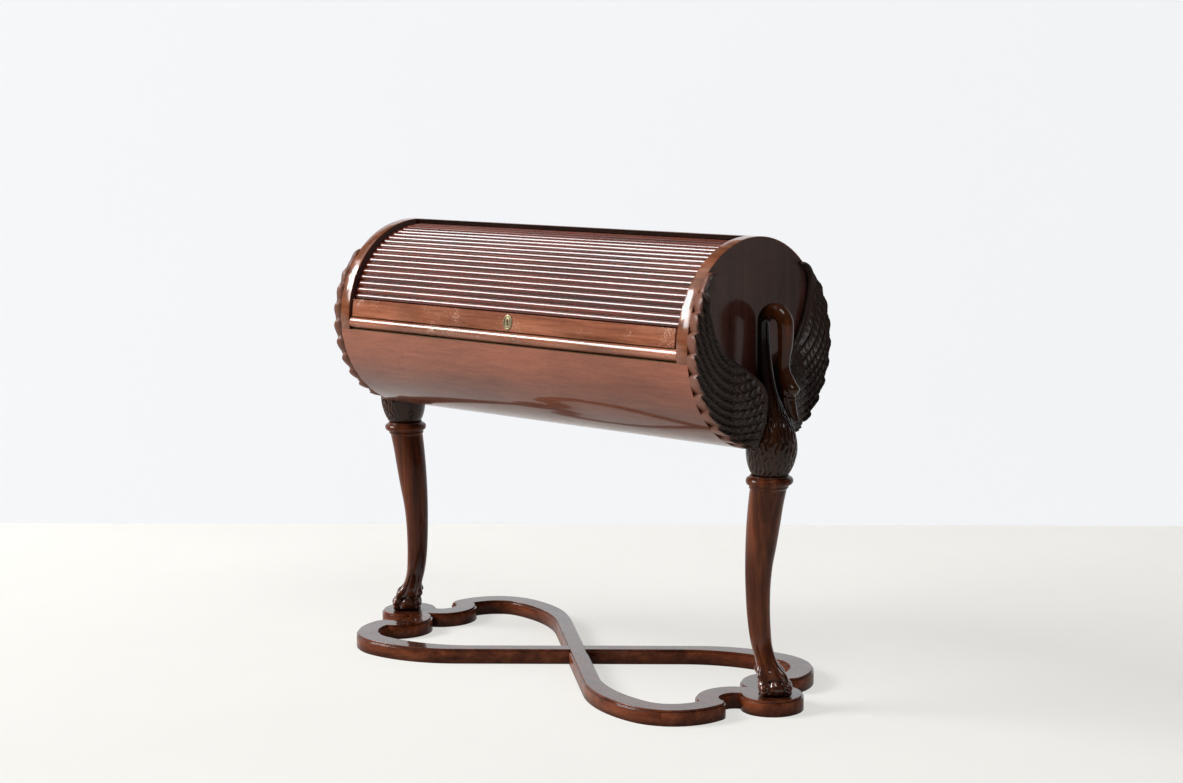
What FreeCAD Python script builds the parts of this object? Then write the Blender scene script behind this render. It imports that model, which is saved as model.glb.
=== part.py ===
import FreeCAD, Part
import os
from math import asin, cos, degrees, radians, sin, sqrt

V = FreeCAD.Vector

# All sizes are in millimetres and all angles in degrees.
# The drum lies along X, its front faces -Y, and the floor is at Z = 0 under the middle of the base.

# Drum
drum_radius = 215.0
case_length = 1036.0
panel_thickness = 28.0
axis_height = 754.0
veneer_thickness = 1.5
stave_thickness = 7.5
stave_count = 12
top_rail_lap = 21.4
top_rail_width = 54.0
front_rail_depth = 28.0
front_rail_height = 40.0
joint_gap = 0.8

# Tambour
tambour_travel = 75.0
tambour_clearance = 1.0
slat_count = 19
slat_pitch = 15.5
slat_height = 9.0
slat_crown_rise = 4.5
slat_gap = 0.4
slat_end_gap = 8.0
tongue_inset = 1.0
tongue_thickness = 3.0
tongue_length = 8.0
groove_clearance = 0.4
groove_end_margin = 3.0
canvas_thickness = 0.8
canvas_side_margin = 20.0
canvas_end_margin = 8.0
lock_rail_height = 40.4
lock_rail_setback = 4.0

# Lock
lock_offset = 16.0
lock_case_width = 46.0
lock_case_height = 24.0
lock_case_depth = 7.5
lock_case_wall = 1.5
lock_fit = 0.1
bolt_width = 24.0
bolt_height = 13.0
bolt_notch_width = 12.0
bolt_notch_depth = 6.5
key_hole_radius = 2.2
key_slot_width = 2.0
key_slot_length = 8.0
escutcheon_width = 26.0
escutcheon_height = 34.0
escutcheon_thickness = 2.0

# Writing board
board_travel = 220.0
board_thickness = 18.0
board_side_gap = 0.5
nosing_height = 28.0
nosing_top = 8.0
nosing_depth = 28.0
leather_thickness = 1.2
leather_side_border = 45.0
leather_front_border = 15.0
leather_depth = 130.0
seat_gap = 0.4
runner_width = 28.0
runner_height = 30.0
stop_depth = 20.0
stop_height = 20.0
stop_margin = 60.0

# Drawers
drawer_names = ("left", "middle", "right")
drawer_opening_height = 62.0
drawer_front_thickness = 10.0
drawer_wall = 6.0
drawer_bottom = 4.0
drawer_box_height = 48.0
drawer_gap = 0.8
drawer_lift = 0.3
bank_front = 12.0
bank_clearance = 10.0
bank_board = 8.0
knob_radius = 8.0
knob_stem_radius = 4.0
knob_length = 19.0
knob_foot_radius = 6.5
knob_foot_thickness = 1.5

# Swan supports, set out from the outer face of each end panel
swan_seat_gap = 0.2
collar_out = 31.6
collar_drop = 50.5
neck_out = 18.2
neck_radius = 12.5
neck_crest_radius = 16.8
neck_fall_radius = 16.6
neck_bend_radius = 28.0
neck_bend_height = 38.7
neck_bend_steps = 6
breast_radius = 52.3
breast_foot_radius = 37.2
head_radius = 16.5
head_drop = 190.3
head_reach = 31.8

# Breast sections: outward distance, share of the height from the collar to the drum's axis, radius
# The first and the last are shares of the breast's radius
breast_sections = [
    (0.62, 0.028, 0.80),
    (0.64, 0.077, 0.90),
    (0.68, 0.141, 0.975),
    (0.73, 0.209, 1.0),
    (0.76, 0.273, 0.955),
    (0.775, 0.330, 0.87),
    (0.72, 0.405, 0.70),
    (0.64, 0.499, 0.555),
    (0.515, 0.635, 0.405),
    (0.41, 0.797, 0.314),
]

# Head sections below the neck's bend: shares of the head's reach, of its drop and of its radius
head_sections = [
    (-0.02, 0.193, 0.93),
    (-0.09, 0.308, 0.79),
    (-0.12, 0.414, 0.70),
    (-0.06, 0.498, 0.73),
    (0.10, 0.571, 0.88),
    (0.25, 0.640, 1.0),
    (0.30, 0.692, 0.94),
    (0.295, 0.745, 0.81),
    (0.34, 0.808, 0.74),
    (0.48, 0.881, 0.61),
    (0.69, 0.944, 0.43),
    (0.90, 0.984, 0.24),
    (1.0, 1.0, 0.10),
]

# Wings, with points of their outline as shares of the drum's radius out from its axis
wing_overhang = 3.0
wing_tip_thickness = 11.0
wing_root_thickness = 46.0
wing_tip_angle = 40.0
wing_root_angle = -72.0
wing_gap = 1.0
wing_tip = (0.623, 0.698)
wing_tip_bulge = (0.707, 0.712)
wing_inner_points = [(0.749, 0.549), (0.688, 0.233), (0.521, -0.047)]

# Legs
pedestal_out = 36.0
foot_out = 44.0
collar_radius = 48.0
collar_height = 30.0
paw_radius = 39.0
paw_height = 42.0
ankle_radius = 21.4
ankle_setback = 14.0
shaft_top_setback = 3.0
shaft_top_radius = 37.4
dowel_radius = 8.0
dowel_half_length = 28.0
dowel_clearance = 0.05

# Foot sections: share of its height, then distance back and radius as shares of its radius
paw_sections = [(0.0, 0.0, 0.89), (0.15, 0.0, 1.0), (0.4, 0.0, 1.0), (0.65, 0.13, 0.8)]

# Shaft sections above the ankle: shares of its height, of its outward reach at the top and of its swell
shaft_sections = [
    (0.07, 0.70, -0.02),
    (0.14, 0.35, 0.0),
    (0.23, 0.15, 0.09),
    (0.34, 0.035, 0.175),
    (0.46, 0.017, 0.275),
    (0.57, 0.105, 0.43),
    (0.68, 0.30, 0.64),
    (0.80, 0.525, 0.81),
    (0.91, 0.75, 0.91),
    (1.0, 1.0, 1.0),
]

# Collar sections: share of its height, share of its radius
collar_sections = [
    (0.05, 0.86), (0.2, 0.88), (0.3, 0.98), (0.5, 1.0), (0.7, 0.98), (0.8, 0.86), (1.0, 0.78),
]

# Base, with its lobes, arms and notches set back from the middle of the pedestal
base_thickness = 33.0
edge_step = 4.0
edge_step_height = 5.0
strap_width = 40.0
strap_angle = 39.4
lobe_width = 53.0
lobe_radius = 131.0
lobe_setback = 156.0
lobe_y = 128.0
lobe_joint_angle = 60.0
pedestal_radius = 65.0
arm_radius = 79.0
arm_setback = 42.0
arm_y = 72.0
notch_radius = 30.0
notch_setback = 37.0

# Derived sizes of the drum
panel_face = case_length / 2
inner_face = panel_face - panel_thickness
stave_outer = drum_radius - veneer_thickness
shell_inner = stave_outer - stave_thickness
drum_underside = axis_height - drum_radius
nosing_bottom = nosing_top - nosing_height
casing_front_angle = -degrees(asin((joint_gap - nosing_bottom) / shell_inner))

# Derived sizes of the tambour and the rail above it
slat_crown = shell_inner - tambour_clearance
slat_back = slat_crown - slat_height
slat_shoulder = slat_crown - slat_crown_rise
slat_step = degrees(slat_pitch / slat_crown)
half_gap_angle = degrees(slat_gap / 2 / slat_crown)
slat_half_angle = slat_step / 2 - half_gap_angle
slat_half_length = inner_face - slat_end_gap
tongue_low = slat_back + tongue_inset
tongue_high = tongue_low + tongue_thickness
tongue_half_length = inner_face + tongue_length
lock_rail_face = drum_radius - lock_rail_setback
lock_rail_low_angle = degrees(asin(nosing_top / drum_radius))
lock_rail_top_angle = lock_rail_low_angle + degrees(lock_rail_height / drum_radius)
lock_angle = (lock_rail_low_angle + lock_rail_top_angle) / 2
tambour_end_angle = lock_rail_top_angle + slat_count * slat_step
canvas_inner = slat_back - canvas_thickness
top_rail_front_angle = tambour_end_angle - degrees(top_rail_lap / drum_radius)
top_rail_back_angle = top_rail_front_angle + degrees(top_rail_width / drum_radius)
casing_span = casing_front_angle - (top_rail_back_angle - 360)

# Derived sizes of the interior
board_top = axis_height + nosing_top
board_bottom = board_top - board_thickness
nosing_back = -drum_radius + nosing_depth
interior_radius = canvas_inner - bank_clearance
front_rail_back = -shell_inner + front_rail_depth
floor_bottom = board_top + joint_gap
floor_top = floor_bottom + bank_board
bank_shelf = floor_top + drawer_opening_height
bank_top = bank_shelf + bank_board
bank_back = sqrt(interior_radius ** 2 - (bank_top - axis_height) ** 2)
drawer_count = len(drawer_names)
drawer_opening = (2 * inner_face - (drawer_count + 1) * bank_board) / drawer_count

# Derived sizes of the supports
collar_x = panel_face + collar_out
foot_x = panel_face + foot_out
pedestal_x = panel_face + pedestal_out
swan_bottom = drum_underside - collar_drop
wing_radius = drum_radius + wing_overhang
lobe_x = pedestal_x - lobe_setback
arm_x = pedestal_x - arm_setback
notch_x = pedestal_x - notch_setback
terminal_radius = lobe_width / 2
terminal_x = lobe_x + lobe_radius - terminal_radius
notch_y = lobe_y - sqrt((terminal_radius + notch_radius) ** 2 - (notch_x - terminal_x) ** 2)


def on_drum(radius, angle, x=0.0):
    """A point at a radius and an angle: 0 is the front, 90 the top and 180 the back."""
    turn = radians(angle)
    return V(x, -radius * cos(turn), axis_height + radius * sin(turn))


def block(x0, x1, y0, y1, z0, z1):
    return Part.makeBox(x1 - x0, y1 - y0, z1 - z0, V(x0, y0, z0))


def rod(radius, start, end):
    return Part.makeCylinder(radius, (end - start).Length, start, end - start)


def drum_arc(radius, start, end, x):
    """An arc about the drum's axis."""
    middle = (start + end) / 2
    points = [on_drum(radius, angle, x) for angle in (start, middle, end)]
    return Part.Arc(*points).toShape()


def straight(start, end):
    return Part.LineSegment(start, end).toShape()


def prism(edges, direction):
    return Part.Face(Part.Wire(edges)).extrude(direction)


def sector(inner, outer, start, end, x0, x1):
    """A curved plank between two radii, two angles and two planes across the drum."""
    edges = [
        drum_arc(outer, start, end, x0),
        straight(on_drum(outer, end, x0), on_drum(inner, end, x0)),
        drum_arc(inner, end, start, x0),
        straight(on_drum(inner, start, x0), on_drum(outer, start, x0)),
    ]
    return prism(edges, V(x1 - x0, 0, 0))


def at_lock(shape):
    """Moves a shape made at the drum's front, at mid-length, to the place of the lock."""
    turned = shape.copy()
    turned.translate(V(lock_offset, 0, 0))
    turned.rotate(V(0, 0, axis_height), V(-1, 0, 0), lock_angle)
    return turned


def mirrored(shape, normal):
    return shape.mirror(V(0, 0, 0), normal)


def save(name, shape):
    shape.exportStep(os.path.join("parts", name + ".step"))


def save_pair(name, shape):
    """Writes a piece of the right end and its mirror image at the left end."""
    save(name + "_right", shape)
    save(name + "_left", mirrored(shape, V(1, 0, 0)))


def end_panel():
    """A round end board with a ledge for the veneer and a groove for the tambour's tongues."""
    panel = rod(drum_radius, V(inner_face, 0, axis_height), V(panel_face, 0, axis_height))
    ledge = sector(
        stave_outer, drum_radius + panel_thickness,
        top_rail_back_angle - 360, casing_front_angle, inner_face, panel_face,
    )
    groove = sector(
        tongue_low - groove_clearance, tongue_high + groove_clearance,
        0, tambour_end_angle + tambour_travel + groove_end_margin,
        inner_face, inner_face + tongue_length + groove_clearance,
    )
    return panel.cut(ledge).cut(groove)


def casing_staves():
    """Curved staves glued edge to edge between the end panels."""
    step = casing_span / stave_count
    staves = []
    for index in range(stave_count):
        start = casing_front_angle - index * step
        staves.append(sector(shell_inner, stave_outer, start - step, start, -inner_face, inner_face))
    return Part.makeCompound(staves)


def casing_veneer():
    """One thin sheet over the staves and the rims of both end panels."""
    return sector(
        stave_outer, drum_radius,
        top_rail_back_angle - 360, casing_front_angle, -panel_face, panel_face,
    )


def top_rail():
    return sector(
        shell_inner, drum_radius,
        top_rail_front_angle, top_rail_back_angle, -inner_face, inner_face,
    )


def front_rail():
    """The bar behind the front edge of the casing, rounded to fit it."""
    top = axis_height + nosing_bottom - joint_gap
    bar = block(-inner_face, inner_face, -shell_inner, front_rail_back, top - front_rail_height, top)
    drum = rod(shell_inner, V(-inner_face, 0, axis_height), V(inner_face, 0, axis_height))
    return bar.common(drum)


def with_tongues(body, start, end):
    """Adds the thin ends that ride in the panels' grooves."""
    tongue = sector(tongue_low, tongue_high, start, end, -tongue_half_length, tongue_half_length)
    return body.fuse(tongue).removeSplitter()


def slat(index):
    """A reeded slat: a flat back, short sides and a rounded crown."""
    middle = lock_rail_top_angle + (index + 0.5) * slat_step
    low = middle - slat_half_angle
    high = middle + slat_half_angle
    x = -slat_half_length
    start = on_drum(slat_shoulder, low, x)
    end = on_drum(slat_shoulder, high, x)
    edges = [
        Part.Arc(start, on_drum(slat_crown, middle, x), end).toShape(),
        straight(end, on_drum(slat_back, high, x)),
        drum_arc(slat_back, high, low, x),
        straight(on_drum(slat_back, low, x), start),
    ]
    return with_tongues(prism(edges, V(2 * slat_half_length, 0, 0)), low, high)


def lock_box(grow):
    """The outside of the lock case at the drum's front, enlarged on every side for its mortise."""
    half = lock_case_width / 2 + grow
    rise = lock_case_height / 2 + grow
    return block(
        -half, half, -slat_back - lock_case_depth - grow, -slat_back,
        axis_height - rise, axis_height + rise,
    )


def key_hole():
    """A round hole with a slot under it, from the lock out through the plate on the rail."""
    start = V(0, -slat_back - lock_case_depth / 2, axis_height)
    end = V(0, -drum_radius - escutcheon_thickness, axis_height)
    half = key_slot_width / 2
    slot = block(-half, half, end.y, start.y, axis_height - key_slot_length, axis_height)
    return rod(key_hole_radius, start, end).fuse(slot)


def bolt_way(grow):
    """Half the width of the bolt's way, and where its front and back lie."""
    half = bolt_width / 2 + grow
    front = -slat_back - lock_case_depth + lock_case_wall + lock_fit - grow
    back = -slat_back - lock_case_wall - lock_fit + grow
    return half, front, back


def lock_rail():
    """The bottom rail of the tambour, flat underneath, with the mortise for the lock."""
    high = lock_rail_top_angle - half_gap_angle
    bar = sector(slat_back, lock_rail_face, 0, high, -slat_half_length, slat_half_length)
    under = block(
        -tongue_half_length, tongue_half_length, -drum_radius, 0,
        axis_height - nosing_height, board_top + seat_gap,
    )
    half, front, back = bolt_way(lock_fit)
    slot = block(-half, half, front, back, axis_height - lock_rail_height, axis_height)
    rail = with_tongues(bar, 0, high).cut(under)
    for hollow in (lock_box(lock_fit), slot, key_hole()):
        rail = rail.cut(at_lock(hollow))
    return rail


def lock_case():
    half = lock_case_width / 2 - lock_case_wall
    rise = lock_case_height / 2 - lock_case_wall
    room = block(
        -half, half, -slat_back - lock_case_depth + lock_case_wall, -slat_back - lock_case_wall,
        axis_height - rise, axis_height + rise,
    )
    wide, front, back = bolt_way(lock_fit)
    slot = block(-wide, wide, front, back, axis_height - lock_case_height, axis_height)
    return at_lock(lock_box(0).cut(room).cut(slot).cut(key_hole()))


def lock_bolt():
    """The bolt drawn back inside its case, with its lower edge at the case's underside."""
    half, front, back = bolt_way(0)
    low = axis_height - lock_case_height / 2
    high = low + bolt_height
    notch_half = bolt_notch_width / 2
    notch = block(-notch_half, notch_half, front, back, high - bolt_notch_depth, high)
    return at_lock(block(-half, half, front, back, low, high).cut(notch))


def escutcheon():
    """An oval plate on the face of the lock rail."""
    plate = Part.Ellipse(V(0, 0, 0), escutcheon_height / 2, escutcheon_width / 2).toShape()
    plate = Part.Face(Part.Wire(plate)).extrude(V(0, 0, lock_rail_setback + escutcheon_thickness))
    plate.rotate(V(0, 0, 0), V(0, 0, 1), 90)
    plate.rotate(V(0, 0, 0), V(1, 0, 0), 90)
    plate.translate(V(0, -lock_rail_face + lock_rail_setback, axis_height))
    rail = rod(lock_rail_face, V(-escutcheon_width, 0, axis_height), V(escutcheon_width, 0, axis_height))
    return at_lock(plate.cut(rail).cut(key_hole()))


def canvas_backing():
    """Cloth glued behind the slats, the lock rail and the lock."""
    half = inner_face - canvas_side_margin
    margin = degrees(canvas_end_margin / canvas_inner)
    low = degrees(asin((nosing_top + seat_gap) / canvas_inner)) + margin
    return sector(canvas_inner, slat_back, low, tambour_end_angle - margin, -half, half)


def writing_board():
    """The sliding board, sunk for its leather, with the batten that stops it at full reach."""
    half = inner_face - board_side_gap
    board = block(-half, half, nosing_back, interior_radius, board_bottom, board_top)
    stop_half = inner_face - runner_width - stop_margin
    stop_front = front_rail_back + board_travel + board_side_gap
    stop = block(
        -stop_half, stop_half, stop_front, stop_front + stop_depth,
        board_bottom - stop_height, board_bottom,
    )
    return board.cut(writing_leather()).fuse(stop).removeSplitter()


def writing_leather():
    """The leather let into the top of the writing board."""
    half = inner_face - leather_side_border
    front = nosing_back + leather_front_border
    return block(-half, half, front, front + leather_depth, board_top - leather_thickness, board_top)


def board_nosing():
    """The half-round front edge of the writing board."""
    half = inner_face - board_side_gap
    radius = nosing_height / 2
    low = axis_height + nosing_bottom
    arc_y = -drum_radius + radius
    lower = V(-half, arc_y, low)
    upper = V(-half, arc_y, board_top)
    edges = [
        Part.Arc(lower, V(-half, -drum_radius, low + radius), upper).toShape(),
        straight(upper, V(-half, nosing_back, board_top)),
        straight(V(-half, nosing_back, board_top), V(-half, nosing_back, low)),
        straight(V(-half, nosing_back, low), lower),
    ]
    return prism(edges, V(2 * half, 0, 0))


def board_runners():
    low = board_bottom - runner_height
    inner = inner_face - runner_width
    right = block(inner, inner_face, front_rail_back, interior_radius, low, board_bottom)
    return Part.makeCompound([right, mirrored(right, V(1, 0, 0))])


def inner_floor():
    return block(-inner_face, inner_face, bank_front, interior_radius, floor_bottom, floor_top)


def drawer_case_top():
    return block(-inner_face, inner_face, bank_front, bank_back, bank_shelf, bank_top)


def inner_back():
    return block(-inner_face, inner_face, bank_back - bank_board, bank_back, floor_top, bank_shelf)


def drawer_left_edge(index):
    return -inner_face + bank_board + index * (drawer_opening + bank_board)


def drawer_case_dividers():
    back = bank_back - bank_board
    boards = []
    for index in range(drawer_count + 1):
        edge = drawer_left_edge(index)
        boards.append(block(edge - bank_board, edge, bank_front, back, floor_top, bank_shelf))
    return Part.makeCompound(boards)


def drawer_front(index):
    left = drawer_left_edge(index) + drawer_gap
    right = drawer_left_edge(index) + drawer_opening - drawer_gap
    back = bank_front + drawer_front_thickness
    return block(left, right, bank_front, back, floor_top + drawer_lift, bank_shelf - drawer_gap)


def drawer_box(index):
    """Two sides, a back and a bottom, open above and closed in front by the drawer front."""
    left = drawer_left_edge(index) + drawer_gap
    right = drawer_left_edge(index) + drawer_opening - drawer_gap
    front = bank_front + drawer_front_thickness
    back = bank_back - bank_board - drawer_gap
    low = floor_top + drawer_lift
    high = low + drawer_box_height
    room = block(
        left + drawer_wall, right - drawer_wall, front, back - drawer_wall,
        low + drawer_bottom, high,
    )
    return block(left, right, front, back, low, high).cut(room)


def drawer_knob(index):
    """A turned knob: a foot on the drawer front, a slim stem and a ball."""
    x = drawer_left_edge(index) + drawer_opening / 2
    z = (floor_top + bank_shelf) / 2
    tip = bank_front - knob_length
    ball = tip + knob_radius
    neck = ball + sqrt(knob_radius ** 2 - knob_stem_radius ** 2)
    foot = bank_front - knob_foot_thickness

    def at(y, radius):
        return V(x, y, z + radius)

    edges = [
        straight(at(bank_front, 0), at(bank_front, knob_foot_radius)),
        straight(at(bank_front, knob_foot_radius), at(foot, knob_foot_radius)),
        straight(at(foot, knob_foot_radius), at(foot, knob_stem_radius)),
        straight(at(foot, knob_stem_radius), at(neck, knob_stem_radius)),
        Part.Arc(at(neck, knob_stem_radius), at(ball, knob_radius), at(tip, 0)).toShape(),
        straight(at(tip, 0), at(bank_front, 0)),
    ]
    return Part.Face(Part.Wire(edges)).revolve(V(x, 0, z), V(0, 1, 0), 360)


def breast_stations():
    """Place along X, height and radius of the breast's round sections, from the collar up."""
    rise = axis_height - swan_bottom
    return [
        (panel_face + out * breast_radius, swan_bottom + share * rise, radius * breast_radius)
        for out, share, radius in breast_sections
    ]


def bend_radius(share):
    """The neck's radius along its bend: thickest at the crest, half way round."""
    if share < 0.5:
        return neck_radius + (neck_crest_radius - neck_radius) * 2 * share
    return neck_crest_radius + (neck_fall_radius - neck_crest_radius) * (2 * share - 1)


def swan_stations():
    """Place along X, height and radius of the carving's round sections, from the collar to the beak."""
    stations = [(collar_x, swan_bottom, breast_foot_radius)] + breast_stations()
    stations.append((panel_face + neck_out, axis_height, neck_radius))
    bend_x = panel_face + neck_out + neck_bend_radius
    bend_z = axis_height + neck_bend_height
    for step in range(neck_bend_steps + 1):
        share = step / neck_bend_steps
        turn = radians(180.0 * (1 - share))
        x = bend_x + neck_bend_radius * cos(turn)
        stations.append((x, bend_z + neck_bend_radius * sin(turn), bend_radius(share)))
    head_x = bend_x + neck_bend_radius
    for out, drop, radius in head_sections:
        stations.append((head_x + out * head_reach, bend_z - drop * head_drop, radius * head_radius))
    return stations


def round_loft(stations, level):
    """Joins round sections into one solid; level sections stay flat, others face along the path."""
    wires = []
    for index, (x, z, radius) in enumerate(stations):
        before = stations[max(index - 1, 0)]
        after = stations[min(index + 1, len(stations) - 1)]
        facing = V(0, 0, 1) if level or index == 0 else V(after[0] - before[0], 0, after[1] - before[1])
        wires.append(Part.Wire(Part.makeCircle(radius, V(x, 0, z), facing)))
    return Part.makeLoft(wires, True, True)


def dowel(x, z, radius):
    return rod(radius, V(x, 0, z - dowel_half_length), V(x, 0, z + dowel_half_length))


def swan():
    """The carved bird: breast, neck, head and beak in one piece, notched to carry the drum."""
    bird = round_loft(swan_stations(), False)
    drum = rod(drum_radius + swan_seat_gap, V(0, 0, axis_height), V(panel_face, 0, axis_height))
    return bird.cut(drum).cut(dowel(collar_x, swan_bottom, dowel_radius + dowel_clearance))


def wing():
    """The front wing of the right end: it follows the rim from the breast up to a curled tip."""
    x = panel_face

    def at(point):
        return V(x, -point[0] * drum_radius, axis_height + point[1] * drum_radius)

    root = on_drum(wing_radius, wing_root_angle, x)
    crown = on_drum(wing_radius, wing_tip_angle, x)
    beside = [V(x, -radius - wing_gap, z) for _, z, radius in breast_stations()]
    path = [point for point in reversed(beside) if point.z > root.z] + [root]
    inner_edge = Part.BSplineCurve()
    inner_edge.interpolate([at(wing_tip)] + [at(point) for point in wing_inner_points] + path[:1])
    edges = [
        drum_arc(wing_radius, wing_root_angle, wing_tip_angle, x),
        Part.Arc(crown, at(wing_tip_bulge), at(wing_tip)).toShape(),
        inner_edge.toShape(),
    ]
    edges += [straight(start, end) for start, end in zip(path, path[1:])]
    board = prism(edges, V(wing_root_thickness, 0, 0))
    return board.cut(wing_waste(at(wing_tip).z, root.z))


def wing_waste(high, low):
    """The wedge above a wing's sloping face, which is thin at the tip and thick at the breast."""
    x = panel_face
    reach = drum_radius * 2
    edges = [
        straight(V(x + wing_root_thickness, -reach, low), V(x + wing_tip_thickness, -reach, high)),
        straight(V(x + wing_tip_thickness, -reach, high), V(x + wing_tip_thickness, -reach, high + reach)),
        straight(V(x + wing_tip_thickness, -reach, high + reach), V(x + reach, -reach, high + reach)),
        straight(V(x + reach, -reach, high + reach), V(x + reach, -reach, low)),
        straight(V(x + reach, -reach, low), V(x + wing_root_thickness, -reach, low)),
    ]
    return prism(edges, V(0, reach, 0))


def leg():
    """A turned leg on an S-shaped line, with a ringed collar above and a round foot below."""
    collar_low = swan_bottom - collar_height
    shaft_low = base_thickness + paw_height
    shaft = collar_low - shaft_low
    stations = []
    for share, back, size in paw_sections:
        x = foot_x - back * paw_radius
        stations.append((x, base_thickness + share * paw_height, size * paw_radius))
    stations.append((foot_x - ankle_setback, shaft_low, ankle_radius))
    for share, out, swell in shaft_sections:
        x = panel_face + out * (collar_out - shaft_top_setback)
        radius = ankle_radius + swell * (shaft_top_radius - ankle_radius)
        stations.append((x, shaft_low + share * shaft, radius))
    for share, size in collar_sections:
        stations.append((collar_x, collar_low + share * collar_height, size * collar_radius))
    solid = round_loft(stations, True)
    bore = dowel_radius + dowel_clearance
    return solid.cut(dowel(foot_x, base_thickness, bore)).cut(dowel(collar_x, swan_bottom, bore))


def leg_dowels():
    """The dowels between pedestal and foot, and between leg and breast."""
    right = [dowel(foot_x, base_thickness, dowel_radius), dowel(collar_x, swan_bottom, dowel_radius)]
    return Part.makeCompound(right + [mirrored(pin, V(1, 0, 0)) for pin in right])


def lobe_point(radius, angle):
    turn = radians(angle)
    return V(lobe_x + radius * cos(turn), lobe_y + radius * sin(turn), 0)


def lobe_arc(radius, start, end):
    angles = (start, (start + end) / 2, end)
    return Part.Arc(*[lobe_point(radius, angle) for angle in angles]).toShape()


def strap_edge(offset, edge_radius):
    """One edge of half a strap: straight from the crossing, then two arcs up to the lobe's joint."""
    turn = radians(strap_angle)
    lift = offset / cos(turn)
    slope = sin(turn) / cos(turn)
    crest = lobe_point(edge_radius, 90)
    bend = (slope * crest.x + lift - crest.y) / (slope * sin(turn) - 1 + cos(turn))
    start = V(crest.x - bend * sin(turn), crest.y - bend * (1 - cos(turn)), 0)
    middle = V(crest.x - bend * sin(turn / 2), crest.y - bend * (1 - cos(turn / 2)), 0)
    foot = V(-offset * sin(turn), offset * cos(turn), 0)
    return [
        straight(foot, start),
        Part.Arc(start, middle, crest).toShape(),
        lobe_arc(edge_radius, 90, lobe_joint_angle),
    ]


def strap_outline(inset):
    """A whole S-shaped strap seen from above, with its long edges moved in."""
    outer = strap_edge(strap_width / 2 - inset, lobe_radius - inset)
    inner = strap_edge(inset - strap_width / 2, lobe_radius - lobe_width + inset)
    joint = straight(
        lobe_point(lobe_radius - inset, lobe_joint_angle),
        lobe_point(lobe_radius - lobe_width + inset, lobe_joint_angle),
    )
    half = outer + [joint] + inner
    other = [edge.rotated(V(0, 0, 0), V(0, 0, 1), 180) for edge in half]
    return Part.Face(Part.Wire(Part.__sortEdges__(half + other)))


def disc(x, y, radius):
    return Part.Face(Part.Wire(Part.makeCircle(radius, V(x, y, 0))))


def end_outline(inset):
    """The right end seen from above: lobes, rounded terminals, arms and pedestal, with edges moved in."""
    outer = lobe_radius - inset
    inner = lobe_radius - lobe_width + inset
    lobe = Part.Face(Part.Wire([
        lobe_arc(outer, 0, lobe_joint_angle),
        straight(lobe_point(outer, lobe_joint_angle), lobe_point(inner, lobe_joint_angle)),
        lobe_arc(inner, lobe_joint_angle, 0),
        straight(lobe_point(inner, 0), lobe_point(outer, 0)),
    ]))
    terminal = disc(terminal_x, lobe_y, terminal_radius - inset)
    arm = disc(arm_x, arm_y, arm_radius - inset)
    beyond = Part.makePlane(2 * arm_radius, 4 * arm_radius, V(notch_x, arm_y - 2 * arm_radius, 0))
    arm = arm.cut(beyond).cut(disc(notch_x, notch_y, notch_radius + inset))
    half = [lobe, terminal, arm]
    whole = half + [mirrored(face, V(0, 1, 0)) for face in half]
    return disc(pedestal_x, 0, pedestal_radius - inset).multiFuse(whole).removeSplitter()


def stepped(outline):
    """Raises an outline to the base's thickness, with a small step round its upper edge."""
    body = outline(0).extrude(V(0, 0, base_thickness - edge_step_height))
    cap = outline(edge_step).extrude(V(0, 0, edge_step_height))
    cap.translate(V(0, 0, base_thickness - edge_step_height))
    return body.fuse(cap)


def base_straps():
    """The two straps, halved into each other where they cross."""
    under = stepped(strap_outline)
    over = mirrored(under, V(0, 1, 0))
    reach = strap_width * 2
    low = block(-reach, reach, -reach, reach, 0, base_thickness / 2)
    high = block(-reach, reach, -reach, reach, base_thickness / 2, base_thickness)
    return over.cut(under.common(low)), under.cut(over.common(high))


def base_end():
    """The right end of the base in one piece, bored for the leg's dowel."""
    return stepped(end_outline).cut(dowel(foot_x, base_thickness, dowel_radius + dowel_clearance))


def save_drum():
    save_pair("end_panel", end_panel())
    save("casing_staves", casing_staves())
    save("casing_veneer", casing_veneer())
    save("top_rail", top_rail())
    save("front_rail", front_rail())


def save_tambour():
    for index in range(slat_count):
        save("slat_%02d" % (index + 1), slat(index))
    save("lock_rail", lock_rail())
    save("lock_case", lock_case())
    save("lock_bolt", lock_bolt())
    save("escutcheon", escutcheon())
    save("canvas_backing", canvas_backing())


def save_interior():
    save("writing_board", writing_board())
    save("writing_leather", writing_leather())
    save("board_nosing", board_nosing())
    save("board_runners", board_runners())
    save("inner_floor", inner_floor())
    save("inner_back", inner_back())
    save("drawer_case_top", drawer_case_top())
    save("drawer_case_dividers", drawer_case_dividers())
    for index, name in enumerate(drawer_names):
        save("drawer_%s_front" % name, drawer_front(index))
        save("drawer_%s_box" % name, drawer_box(index))
        save("drawer_%s_knob" % name, drawer_knob(index))


def save_supports():
    save_pair("swan", swan())
    front_wing = wing()
    save_pair("wing_front", front_wing)
    save_pair("wing_rear", mirrored(front_wing, V(0, 1, 0)))
    save_pair("leg", leg())
    save("leg_dowels", leg_dowels())


def save_base():
    over, under = base_straps()
    save("base_strap_over", over)
    save("base_strap_under", under)
    save_pair("base_end", base_end())


os.makedirs("parts", exist_ok=True)
save_drum()
save_tambour()
save_interior()
save_supports()
save_base()
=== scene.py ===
import math

import bpy
import numpy as np
from mathutils import Matrix, Vector


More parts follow.
